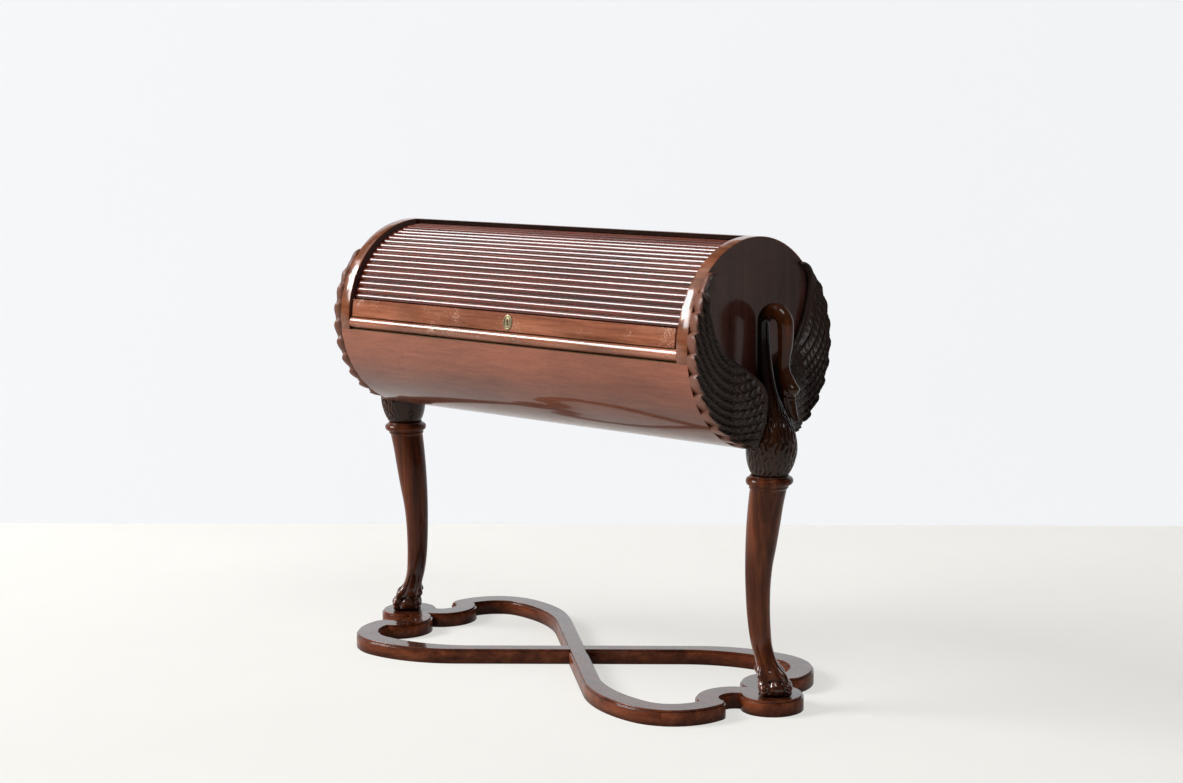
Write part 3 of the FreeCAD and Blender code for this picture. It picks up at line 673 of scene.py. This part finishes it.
def wing_outline():
    """The wing's inner and outer edge, in step with each other, out from the axis and up."""
    inner = smooth_path(WING_INNER, WING_STEPS) * RADIUS
    turn = np.radians(np.linspace(WING_ROOT_ANGLE, WING_RIM_END, RIM_STEPS))
    rim = np.column_stack([np.cos(turn), np.sin(turn)]) * RADIUS
    tip = smooth_path([rim[-1] / RADIUS, *WING_TIP_CURVE], TIP_STEPS) * RADIUS
    return inner, evenly(np.vstack([rim, tip[1:]]), WING_STEPS)


def feather_strands(out, up):
    """A point's long feather, its place across it, its depth under the rim and its angle."""
    reach, turn = np.hypot(out, up), np.arctan2(up, out)
    deep = np.maximum(RADIUS - reach, -0.01)
    strand = np.log1p(deep * STRAND_SPREAD / STRAND_WIDTH) / STRAND_SPREAD + turn * RADIUS / STRAND_RIM
    return np.floor(strand), np.abs(2 * (strand % 1) - 1), deep, turn


def lobes(phase):
    """A row of rounded lobes with narrow cuts between them."""
    return np.abs(np.sin(math.pi * phase)) ** 0.55


def shingles(phase):
    """Overlapping scales: each is highest at its free end and dips under the next."""
    t = phase % 1
    return (1 - t) ** 0.8 * smooth_step(0.0, 0.14, t)


def plumes(vane, row, off_quill, deep, turn):
    """Long feathers: a rounded vane, a quill along it and barbs cut into its flanks."""
    sweep = turn * 0.85 * RADIUS - 0.4 * deep
    barbs = lobes(sweep / BARB_PITCH + 0.37 * row - 1.15 * off_quill)
    flank = smooth_step(0.08, 0.45, off_quill)
    return vane + QUILL_HEIGHT * bump_at(off_quill, 0.15) + BARB_DEPTH * (barbs - 1) * flank


def tiles(vane, row, off_quill, inward, up):
    """Scales inside the crack: overlapping, with seams between their columns."""
    scales = shingles(inward / SCALE_PITCH + 0.5 * row - 0.75 * off_quill**1.4)
    column = (inward / SCALE_COLUMN + 0.11 * np.sin(2 * math.pi * up / SEAM_WAVE) + 0.5) % 1 - 0.5
    seam = SEAM_DEPTH * bump_at(column * SCALE_COLUMN, SEAM_WIDTH) * smooth_step(0.012, 0.02, inward)
    return 0.7 * vane + 1.2 * BARB_DEPTH * (scales - 0.6) - seam * smooth_step(-0.04, -0.07, up)


def feather_relief(out, up, from_inner, width, share):
    """Height of the carved feathers over the wing's smooth body."""
    row, off_quill, deep, turn = feather_strands(out, up)
    inward = CRACK_OUT - out
    covert = smooth_step(-0.0008, 0.0008, inward) * smooth_step(0.0, -0.02, up)
    vane = STRAND_HEIGHT * (1 - off_quill**1.5)
    plume = plumes(vane, row, off_quill, deep, turn)
    tile = tiles(vane, row, off_quill, inward, up)
    clear = smooth_step(0.006, 0.015, from_inner) * smooth_step(0.01, 0.03, width)
    bead = BEAD_HEIGHT * bump_at(from_inner - BEAD_WIDTH, BEAD_WIDTH) * smooth_step(0.56, 0.4, share)
    wander = inward + 0.0012 * np.sin(up * 190)
    crack = CRACK_DEPTH * bump_at(wander, CRACK_WIDTH) * smooth_step(0.02, -0.01, up)
    return (plume * (1 - covert) + tile * covert) * clear + bead - crack


def rim_teeth(outer):
    """The outer edge with a rounded tooth at each feather's end."""
    turn = np.arctan2(outer[:, 1], outer[:, 0])
    t = (turn * RADIUS / STRAND_RIM) % 1
    before, after = (TOOTH_CREST - t) / TOOTH_CREST, (t - TOOTH_CREST) / (1 - TOOTH_CREST)
    slope = np.where(t < TOOTH_CREST, before, after)
    tooth = TOOTH_LOW + (TOOTH_HIGH - TOOTH_LOW) * (1 - slope**2)
    fade = smooth_step(*np.radians(TIP_FADE), turn)
    return outer * (1 + tooth / RADIUS * fade)[:, None]


def rolled(distance, radius):
    """How far a rounded edge lies under the flat beside it."""
    inside_edge = np.clip(1 - distance / radius, 0, 1)
    return radius * (1 - np.sqrt(1 - inside_edge**2))


def wing_mesh():
    """Front right wing: a carved field over the end panel, with walls down to it."""
    inner, outer = wing_outline()
    outer = rim_teeth(outer)
    width = np.maximum(np.linalg.norm(outer - inner, axis=1), 1e-5)[:, None]
    share = np.linspace(0, 1, WING_STEPS)[:, None]
    inner_edge, outer_edge = (np.minimum(edge / width, 0.25) for edge in (INNER_ROUND, OUTER_ROUND))
    middle = inner_edge + (1 - inner_edge - outer_edge) * np.linspace(0, 1, WING_LANES)[1:-1]
    across = np.hstack([inner_edge * EDGE_LANES, middle, 1 - outer_edge * EDGE_LANES[::-1]])
    flat = inner[:, None] + (outer - inner)[:, None] * across[..., None]
    out, up = flat[..., 0], flat[..., 1]
    low, high = (profile(table, share) for table in (WING_INNER_HEIGHT, WING_OUTER_HEIGHT))
    body = low + (high - low) * smooth_step(0, 0.75, across) + WING_CROWN * np.sin(math.pi * across)
    relief = feather_relief(out, up, across * width, width, share)
    edges = (rolled(across, inner_edge) + rolled(1 - across, outer_edge)) * width
    height = np.maximum(body + relief - edges, WING_LEAST)
    top, seat = (places(FACE + rise, -out, AXIS_Z + up) for rise in (height, WING_GAP))
    rings = np.concatenate([seat[:, :1], top, seat[:, -1:]], axis=1)
    return rings, tube_faces(*rings.shape[:2])


def make_wings():
    points, faces = wing_mesh()
    for end, x_sign in ENDS.items():
        for side, y_sign in SIDES.items():
            node = f"wing_{side}_{end}"
            placed = mirrored(points, faces, x_sign, -y_sign)
            add_piece(f"carved_{node}", *placed, "carved", "carcass", "mahogany_carved", [node])


# Swan's breast: out from the panel, rise over the axis, radius
BREAST = (
    (0.0316, -0.2655, 0.0372), (0.0322, -0.258, 0.0418), (0.0335, -0.245, 0.047), (0.0355, -0.228, 0.051),
    (0.038, -0.21, 0.0523), (0.0398, -0.193, 0.05), (0.0405, -0.178, 0.0455), (0.0378, -0.158, 0.0368),
    (0.0333, -0.133, 0.029), (0.0269, -0.097, 0.0212), (0.0215, -0.054, 0.0164), (0.0185, 0.0, 0.0132),
)
BEND_RADIUS, BEND_RISE, NECK_OUT = 0.028, 0.0387, 0.0182
NECK_RADIUS, CREST_RADIUS, ARM_RADIUS = 0.0125, 0.0168, 0.0166
# Its head: out, rise, radius in the plane of the neck and across it
HEAD = (
    (0.0735, 0.002, 0.0153, 0.015), (0.0713, -0.02, 0.013, 0.0126), (0.0705, -0.04, 0.0115, 0.0112),
    (0.0722, -0.056, 0.0125, 0.0114), (0.0775, -0.07, 0.0156, 0.0132), (0.0822, -0.083, 0.0178, 0.0145),
    (0.0838, -0.093, 0.0166, 0.0142), (0.0836, -0.103, 0.014, 0.0126), (0.085, -0.115, 0.013, 0.0114),
    (0.0895, -0.129, 0.0106, 0.0094), (0.0962, -0.141, 0.0072, 0.007), (0.1028, -0.1485, 0.0038, 0.0042),
    (0.106, -0.1516, 0.0012, 0.0015),
)
SWAN_RINGS, SWAN_SPOKES = 400, 180
HEAD_START, DRUM_GAP = 0.62, 0.0002
EYE, EYE_SIDE, EYE_RADIUS = (0.0872, -0.0926), 0.0122, 0.003
KNOB, KNOB_GROOVE, BEAK_TOP = (0.101, -0.0875), -0.101, -0.099
BROW, NOSTRIL = (EYE[0] + 0.004, EYE[1] + 0.01), (0.0945, -0.1085)
STROKE_LENGTH, STROKE_COUNT, STROKE_DEPTH = 0.023, 31, 0.003


def swan_spine():
    """The swan's centre line and radii from the collar over the neck to the beak."""
    turn = np.radians(np.linspace(180, 0, 7))
    thick = np.interp(turn, np.radians((0, 90, 180)), (ARM_RADIUS, CREST_RADIUS, NECK_RADIUS))
    out, rise = NECK_OUT + BEND_RADIUS * (1 + np.cos(turn)), BEND_RISE + BEND_RADIUS * np.sin(turn)
    bend = np.column_stack([out, rise, thick, thick])
    breast = [(*row, row[2]) for row in BREAST]
    return smooth_path([*breast, *bend, *HEAD], SWAN_RINGS)


def breast_feathers(along, turn):
    """Short overlapping strokes round the breast, fading up the neck."""
    place = turn / (2 * math.pi) * STROKE_COUNT + 0.25 * np.sin(along * 170 + 4 * turn)
    u, v = place % 1, (along / STROKE_LENGTH + 0.618 * np.floor(place)) % 1
    stroke = bump_at(u - 0.5, 0.24) * np.sin(math.pi * v) ** 0.6
    hair = 0.15 * np.abs(np.sin(math.pi * (3 * place + 2 * v)))
    facing = smooth_step(-0.75, -0.2, np.cos(turn))
    fade = smooth_step(0.003, 0.009, along) * smooth_step(0.17, 0.09, along)
    return -STROKE_DEPTH * (stroke + hair) * facing * fade


def head_relief(out, rise, turn, place):
    """Brow, knob, eye sockets and mouth of the head; turn is pi on its outer side."""
    side = np.abs(np.sin(turn))
    outer = smooth_step(0.1, 0.8, -np.cos(turn))
    near_eye = np.hypot(out - EYE[0], rise - EYE[1])
    socket = (-0.0016 * bump_at(near_eye, 0.0042) + 0.0009 * bump_at(near_eye - 0.0062, 0.0016)) * side**2
    brow = 0.0018 * bump_at(np.hypot(out - BROW[0], (rise - BROW[1]) / 1.4), 0.0055) * side
    knob = 0.0055 * bump_at(np.hypot(out - KNOB[0], rise - KNOB[1]), 0.0078)
    notch = -0.0026 * bump_at(rise - KNOB_GROOVE, 0.0026) * outer
    in_beak = smooth_step(BEAK_TOP, BEAK_TOP - 0.008, rise)
    gape = np.abs(np.abs(turn - math.pi) - math.radians(108))
    mouth = -0.0032 * bump_at(gape, 0.2) * in_beak
    cheek = -0.0016 * bump_at(rise - BEAK_TOP - 0.14 * (out - EYE[0]), 0.0018) * side
    nostril = -0.002 * bump_at(np.hypot(out - NOSTRIL[0], (rise - NOSTRIL[1]) / 1.8), 0.0028) * side
    return (socket + brow + knob + notch + mouth + cheek + nostril) * (place > HEAD_START)


def keep_out_of_drum(points):
    """Moves points that lie inside the drum to its end or its underside, whichever is nearer."""
    face, rim = FACE + DRUM_GAP, RADIUS + DRUM_GAP
    up = points[..., 2] - AXIS_Z
    reach = np.hypot(points[..., 1], up)
    to_face = face - points[..., 0]
    to_rim = rim - reach
    sunk = (to_face > 0) & (to_rim > 0)
    by_face = sunk & (to_face <= to_rim)
    by_rim = sunk & ~by_face
    points[..., 0] = np.where(by_face, face, points[..., 0])
    scale = np.where(by_rim, rim / np.maximum(reach, 1e-6), 1)
    points[..., 1] *= scale
    points[..., 2] = AXIS_Z + up * scale
    return points


def swan_mesh():
    """Right-hand swan as one carved tube with shaped rings."""
    spine = swan_spine()
    along = lengths_along(spine)
    tangent = np.gradient(spine[:, :2], axis=0)
    tangent[0] = (0, 1)
    tangent /= np.linalg.norm(tangent, axis=1)[:, None]
    normal = np.column_stack([tangent[:, 1], -tangent[:, 0]])
    turn = full_turn(SWAN_SPOKES)[None]
    place = (along / along[-1])[:, None]
    centre_out, centre_rise, in_plane, across = (column[:, None] for column in spine.T)
    out_share, rise_share = (np.cos(turn) * column[:, None] for column in normal.T)
    out, rise = centre_out + in_plane * out_share, centre_rise + in_plane * rise_share
    relief = breast_feathers(along[:, None], turn) + head_relief(out, rise, turn, place)
    in_plane, across = in_plane + relief, across + relief
    out, rise = centre_out + in_plane * out_share, centre_rise + in_plane * rise_share
    points = places(FACE + out, across * np.sin(turn), AXIS_Z + rise)
    return keep_out_of_drum(points), tube_faces(SWAN_RINGS, SWAN_SPOKES)


def ball_mesh(centre, radius, rows=14, columns=24):
    """A small closed ball, as rings from pole to pole."""
    pole = 0.02
    lean = np.linspace(pole, math.pi - pole, rows)[:, None]
    turn = full_turn(columns)[None]
    ball = places(np.sin(lean) * np.cos(turn), np.sin(lean) * np.sin(turn), np.cos(lean))
    return np.array(centre) + radius * ball, [face[::-1] for face in tube_faces(rows, columns)]


def make_swans():
    points, faces = swan_mesh()
    for end, x_sign in ENDS.items():
        placed = mirrored(points, faces, x_sign, 1)
        add_piece(f"carved_swan_{end}", *placed, "swan", "carcass", "mahogany_carved", [f"swan_{end}"])
        for side, y_sign in SIDES.items():
            centre = (x_sign * (FACE + EYE[0]), y_sign * EYE_SIDE, AXIS_Z + EYE[1])
            eye = ball_mesh(centre, EYE_RADIUS)
            add_piece(f"swan_eye_{side}_{end}", *eye, "carved", "carcass", "mahogany_carved")


# Leg: height over the base, and the centre line's distance from the panel or a size there
LEG_OUT = (
    (0.0, 0.044), (0.02, 0.044), (0.03, 0.0405), (0.042, 0.033), (0.055, 0.026), (0.069, 0.02),
    (0.096, 0.01), (0.13, 0.0043), (0.172, 0.001), (0.218, 0.0005), (0.261, 0.003), (0.303, 0.0086),
    (0.349, 0.015), (0.391, 0.0215), (0.4255, 0.0286), (0.44, 0.0316), (0.4555, 0.0316),
)
LEG_RADIUS = (
    (0.05, 0.0245), (0.06, 0.0222), (0.075, 0.0212), (0.096, 0.0214), (0.13, 0.0228), (0.172, 0.0242),
    (0.218, 0.0258), (0.261, 0.0283), (0.303, 0.0317), (0.349, 0.0344), (0.391, 0.036), (0.4255, 0.0376),
)
FOOT_RADIUS = (
    (0.0, 0.0225), (0.003, 0.0262), (0.009, 0.03), (0.017, 0.0312), (0.024, 0.0296), (0.03, 0.0256),
    (0.0345, 0.0205), (0.0358, 0.0285), (0.04, 0.028), (0.05, 0.0248),
)
BALL_SWELL, CUFF_ARCH = 0.0045, 0.006
BALL_FADE, CUFF_FADE, SHAFT_START = (0.0355, 0.0345), (0.055, 0.03), 0.05
TALON_HEIGHT = (
    (0.0, 0.008), (0.003, 0.0112), (0.008, 0.0128), (0.0125, 0.0108), (0.018, 0.015), (0.023, 0.0158),
    (0.028, 0.0138), (0.0325, 0.0112), (0.037, 0.013), (0.042, 0.0152), (0.047, 0.014), (0.053, 0.0098),
    (0.06, 0.007), (0.07, 0.005), (0.082, 0.0036), (0.098, 0.002), (0.115, 0.0),
)
TALON_WIDTH = (
    (0.0, 0.0038), (0.004, 0.0048), (0.009, 0.006), (0.0125, 0.006), (0.02, 0.0086), (0.026, 0.008),
    (0.0325, 0.0066), (0.042, 0.009), (0.05, 0.0078), (0.06, 0.0068), (0.1, 0.0072),
)
# Collar: depth under its top, radius
COLLAR = (
    (0.03, 0.0376), (0.028, 0.0392), (0.0262, 0.0404), (0.0215, 0.0404), (0.0207, 0.0425),
    (0.0185, 0.0462), (0.0155, 0.0479), (0.0125, 0.0484), (0.0095, 0.0479), (0.0065, 0.0462),
    (0.0043, 0.0425), (0.0038, 0.0397), (0.001, 0.0397), (0.0, 0.0385),
)
LEG_SPOKES = 144
# Rings: heights over the base, and depths under the collar's top
FOOT_TALL, SHAFT_LOW, SHAFT_DROP, COLLAR_TALL = 0.115, 0.118, 0.032, 0.0301
FOOT_RINGS, SHAFT_RINGS, COLLAR_RINGS = 120, 70, 60


def leg_heights():
    """Ring heights over the base: close together in the foot and the collar."""
    top = COLLAR_TOP - BASE_TOP
    foot = np.linspace(0, FOOT_TALL, FOOT_RINGS)
    shaft = np.linspace(SHAFT_LOW, top - SHAFT_DROP, SHAFT_RINGS)
    collar = top - np.linspace(COLLAR_TALL, 0.0, COLLAR_RINGS)
    return np.concatenate([foot, shaft, collar])


def leg_radius(height, between):
    """Radius of the ball, its cuff and the shaft; between is 0 at a talon and 1 half way to the next."""
    level = height + CUFF_ARCH * (1 - between) * smooth_step(*CUFF_FADE, height)
    swell = BALL_SWELL * between * smooth_step(*BALL_FADE, level)
    foot = np.interp(level, *np.array(FOOT_RADIUS).T) + swell
    radius = np.where(height < SHAFT_START, foot, profile(LEG_RADIUS, height))
    drop = COLLAR_TOP - BASE_TOP - height
    drops, radii = np.array(COLLAR).T
    return np.where(drop < drops[0], np.interp(drop, drops[::-1], radii[::-1]), radius)


def leg_mesh():
    """Right-hand leg: a ball held by four talons, a curved shaft and a ringed collar."""
    height = leg_heights()[:, None]
    turn = full_turn(LEG_SPOKES)[None]
    quarter = (turn + math.pi / 4) % (math.pi / 2) - math.pi / 4
    radius = leg_radius(height, np.sin(2 * quarter) ** 2)
    tall, wide = (np.interp(height, *np.array(table).T) for table in (TALON_HEIGHT, TALON_WIDTH))
    across = np.clip(np.abs(quarter) * (radius + 0.6 * tall) / wide, 0, 1)
    reach = radius + tall * np.sqrt(1 - across**2)
    out = profile(LEG_OUT, height) + reach * np.cos(turn)
    points = places(FACE + out, reach * np.sin(turn), BASE_TOP + height)
    return points, tube_faces(len(height), LEG_SPOKES)


def make_legs():
    points, faces = leg_mesh()
    for end, x_sign in ENDS.items():
        placed = mirrored(points, faces, x_sign, 1)
        add_piece(f"turned_leg_{end}", *placed, "leg", "carcass", "mahogany_turned", [f"leg_{end}"])


# Escutcheon: share of the way from the key hole to the edge, height over the lock rail
ESCUTCHEON_PROFILE = (
    (0.0, -0.0012), (0.0, 0.002), (0.06, 0.0023), (0.34, 0.0023), (0.38, 0.0021), (0.42, 0.0012),
    (0.6, 0.0012), (0.66, 0.0018), (0.72, 0.0026), (0.78, 0.0028), (0.84, 0.0026), (0.88, 0.0019),
    (0.92, 0.0022), (0.97, 0.0018), (1.0, 0.0008), (1.0, 0.0),
)
ESCUTCHEON_SPOKES, OVAL_WAIST = 96, 0.04
KEY_ROUND, KEY_SLOT, KEY_DROP, KEY_RISE = 0.003, 0.0015, 0.008, 0.002
# The slot begins at this share of the round hole's radius
SLOT_START = 0.6


def key_hole(turn):
    """Outline of the key hole: a round hole over a slot."""
    across, up = KEY_ROUND * np.cos(turn), KEY_ROUND * np.sin(turn)
    slot = up < -SLOT_START * KEY_ROUND
    reach = np.clip((-up / KEY_ROUND - SLOT_START) / (1 - SLOT_START), 0, 1)
    up = np.where(slot, -SLOT_START * KEY_ROUND - reach * KEY_DROP, up)
    across = np.where(slot, np.sign(across) * np.minimum(np.abs(across), KEY_SLOT), across)
    return np.column_stack([across, up + KEY_RISE])


def make_escutcheon():
    """Brass plate with a beaded rim round an oval boss and its key hole."""
    low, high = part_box("escutcheon")
    centre = (low + high) / 2
    lean = math.atan2(centre.z - AXIS_Z, -centre.y)
    normal = np.array((0, -math.cos(lean), math.sin(lean)))
    upward = np.array((0, math.sin(lean), math.cos(lean)))
    lengthwise = np.array((1.0, 0, 0))
    corners = cad_corners("escutcheon")
    seat = (corners @ normal).min()
    levels = corners @ upward
    half_tall, half_wide = np.ptp(levels) / 2, (high.x - low.x) / 2
    turn = full_turn(ESCUTCHEON_SPOKES)
    hole = key_hole(turn)
    tall = half_tall * np.sin(turn) * (1 + OVAL_WAIST * np.cos(2 * turn))
    edge = np.column_stack([half_wide * np.cos(turn), tall])
    level = (levels.max() + levels.min()) / 2
    middle = np.array((centre.x, 0, AXIS_Z)) + normal * seat + upward * level
    rings = []
    for share, height in ESCUTCHEON_PROFILE:
        flat = hole + (edge - hole) * share
        rings.append(middle + flat[:, :1] * lengthwise + flat[:, 1:] * upward + height * normal)
    rings.append(rings[0])
    faces = grid_faces(len(rings), len(turn))
    add_piece("escutcheon_plate", np.array(rings), faces, "brass", "tambour", "aged_brass", ["escutcheon"])


# Leather and canvas
LEATHER_ROUND, LEATHER_WAVES = 0.0004, 0.00008
LEATHER_GRID, CANVAS_GRID = (90, 24), (120, 150)
SLAT_PITCH, CANVAS_DIP = 0.0155, 0.00015


def sheet_mesh(under, upper):
    """A thin closed sheet between two grids of points, as rings round it."""
    rings = np.concatenate([under, upper[:, ::-1]], axis=1)
    return rings, tube_faces(*rings.shape[:2])


def sheet_grid(first, second, counts):
    """Evenly spaced values of a sheet's two coordinates."""
    lines = (np.linspace(*bounds, count) for bounds, count in zip((first, second), counts))
    return np.meshgrid(*lines, indexing="ij")


def make_leather():
    """Writing leather let into the board, a little uneven from use."""
    low, high = LEATHER_LOW, LEATHER_HIGH
    x, y = sheet_grid((low.x, high.x), (low.y, high.y), LEATHER_GRID)
    edge = np.min([x - low.x, high.x - x, y - low.y, high.y - y], axis=0)
    waves = np.sin(31 * x + 7 * y) * np.sin(43 * y - 9 * x) - 1
    rounding = LEATHER_ROUND * smooth_step(0.004, 0, edge)
    top = high.z - rounding + LEATHER_WAVES * waves * smooth_step(0, 0.01, edge)
    mesh = sheet_mesh(*(places(x, y, level) for level in (low.z, top)))
    name = "writing_leather"
    sheet = add_piece("leather_sheet", *mesh, "leather", "writing_slide", name, [name])


def make_canvas():
    """Canvas glued behind the slats, dipping a little into the gaps between them."""
    across, y, up = cad_corners("canvas_backing").T
    reach, turn = np.hypot(y, up), np.arctan2(up, -y)
    half, length = across.max(), np.ptp(turn) * reach.mean()
    x, at = sheet_grid((-half, half), (turn.min(), turn.max()), CANVAS_GRID)
    dip = CANVAS_DIP * np.sin(at * reach.max() / SLAT_PITCH * math.pi) ** 2
    layers = (reach.min() - dip, reach.max() - dip)
    mesh = sheet_mesh(*(places(x, -r * np.cos(at), AXIS_Z + r * np.sin(at)) for r in layers))
    sheet = add_piece("canvas_sheet", *mesh, "canvas", "tambour", "canvas", ["canvas_backing"])


make_wings()
make_swans()
make_legs()
make_escutcheon()
make_leather()
make_canvas()


# Room, light and camera


def seen_rays(tree):
    return [add(tree, "LightPath", ray) for ray in ("Is Camera Ray", "Is Glossy Ray")]


def room_surface(name, corners, colour, glow):
    """A plain stage surface, seen from its front only; glow whitens it to the eye."""
    mesh = bpy.data.meshes.new(name)
    mesh.from_pydata(corners, [], [tuple(range(len(corners)))])
    surface = bpy.data.objects.new(name, mesh)
    scene.collection.objects.link(surface)
    material, tree, shader, coords = new_material(name)
    stain = noise(tree, coords, 1.6, 6.0, 0.6)
    low = tuple(STAIN_TONE * c for c in colour)
    stained = ramp(tree, stain, [(0.3, low), (0.7, colour)])
    shade(tree, shader, {"Base Color": stained, "Roughness": 0.75, "Specular IOR Level": 0.2})
    seen = maths(tree, "MAXIMUM", *seen_rays(tree))
    pale = rgba(c * GLOW_LEVEL / max(colour) for c in colour)
    white = add(tree, "Emission", 0, {"Color": pale, "Strength": 1.0})
    shown = add(tree, "MixShader", 0, {0: times(tree, seen, glow), 1: shader.outputs[0], 2: white})
    behind = add(tree, "NewGeometry", "Backfacing")
    clear = add(tree, "BsdfTransparent")
    both = add(tree, "MixShader", 0, {0: behind, 1: shown, 2: clear})
    plug(tree, tree.nodes["Material Output"], "Surface", both)
    mesh.materials.append(material)


def floor_point(camera, column, row):
    """Where the camera sees the floor at a pixel of the photograph."""
    wide, tall = FRAME_PIXELS
    scale = SENSOR_WIDTH / wide
    ray = Vector(((column - wide / 2) * scale, (tall / 2 - row) * scale, -CAMERA_LENS))
    ray = camera.matrix_world.to_3x3() @ ray
    place = camera.matrix_world.translation
    return place - ray * (place.z / ray.z)


def make_room(camera):
    """A white wall behind the desk, and a floor that runs up to it."""
    left, right = (floor_point(camera, c, r) for c, r in zip((0, FRAME_PIXELS[0]), WALL_LINE_PIXELS))
    along = (right - left).normalized()
    nearer = Vector((along.y, -along.x, 0)) * FLOOR_REACH
    high = Vector((0, 0, WALL_HEIGHT))
    start, end = left - along * WALL_MARGIN, right + along * WALL_MARGIN
    room_surface("wall", [start, end, end + high, start + high], WALL_COLOUR, WALL_GLOW)
    left, right = left - along * FLOOR_REACH, right + along * FLOOR_REACH
    room_surface("floor", [left + nearer, right + nearer, right, left], FLOOR_COLOUR, FLOOR_GLOW)


def make_world():
    """White to the eye, and a plain soft fill on everything else."""
    world = bpy.data.worlds.new("studio")
    scene.world = world
    world.use_nodes = True
    tree = world.node_tree
    back = tree.nodes["Background"]
    seen, reflected = seen_rays(tree)
    level = maths(tree, "ADD", times(tree, seen, 1 - WORLD_FILL), WORLD_FILL)
    level = maths(tree, "ADD", times(tree, reflected, WORLD_GLOSS - WORLD_FILL), level)
    shade(tree, back, {"Color": rgba(WORLD_COLOUR), "Strength": level})


def stand(holder, place, right, upward, back):
    """Puts a lamp or the camera at a place, turned by its three directions."""
    turned = Matrix((right, upward, back)).transposed().to_4x4()
    holder.matrix_world = Matrix.Translation(place) @ turned
    scene.collection.objects.link(holder)


def make_lamp(name, place, target, size, power):
    """An area lamp with two of its sides square to the drum's length."""
    lamp = bpy.data.lights.new(name, "AREA")
    lamp.shape = "RECTANGLE"
    lamp.size, lamp.size_y = size
    lamp.energy = power
    holder = bpy.data.objects.new(name, lamp)
    back = (Vector(place) - Vector(target)).normalized()
    upward = Vector((1, 0, 0)).cross(back).normalized()
    stand(holder, place, upward.cross(back), upward, back)


def make_camera():
    """The photograph's camera, from its place and three angles."""
    yaw, pitch, roll = (math.radians(a) for a in (CAMERA_YAW, CAMERA_PITCH, CAMERA_ROLL))
    look = Vector((-math.sin(yaw) * math.cos(pitch), math.cos(yaw) * math.cos(pitch), -math.sin(pitch)))
    level = Vector((math.cos(yaw), math.sin(yaw), 0))
    right = math.cos(roll) * level + math.sin(roll) * level.cross(look)
    upward = right.cross(look)
    data = bpy.data.cameras.new("camera")
    data.lens = CAMERA_LENS
    data.sensor_width = SENSOR_WIDTH
    camera = bpy.data.objects.new("camera", data)
    stand(camera, CAMERA_PLACE, right, upward, -look)
    scene.camera = camera
    return camera


make_room(make_camera())
make_world()
for lamp_row in LAMPS:
    make_lamp(*lamp_row)
scene.view_settings.view_transform = "Standard"
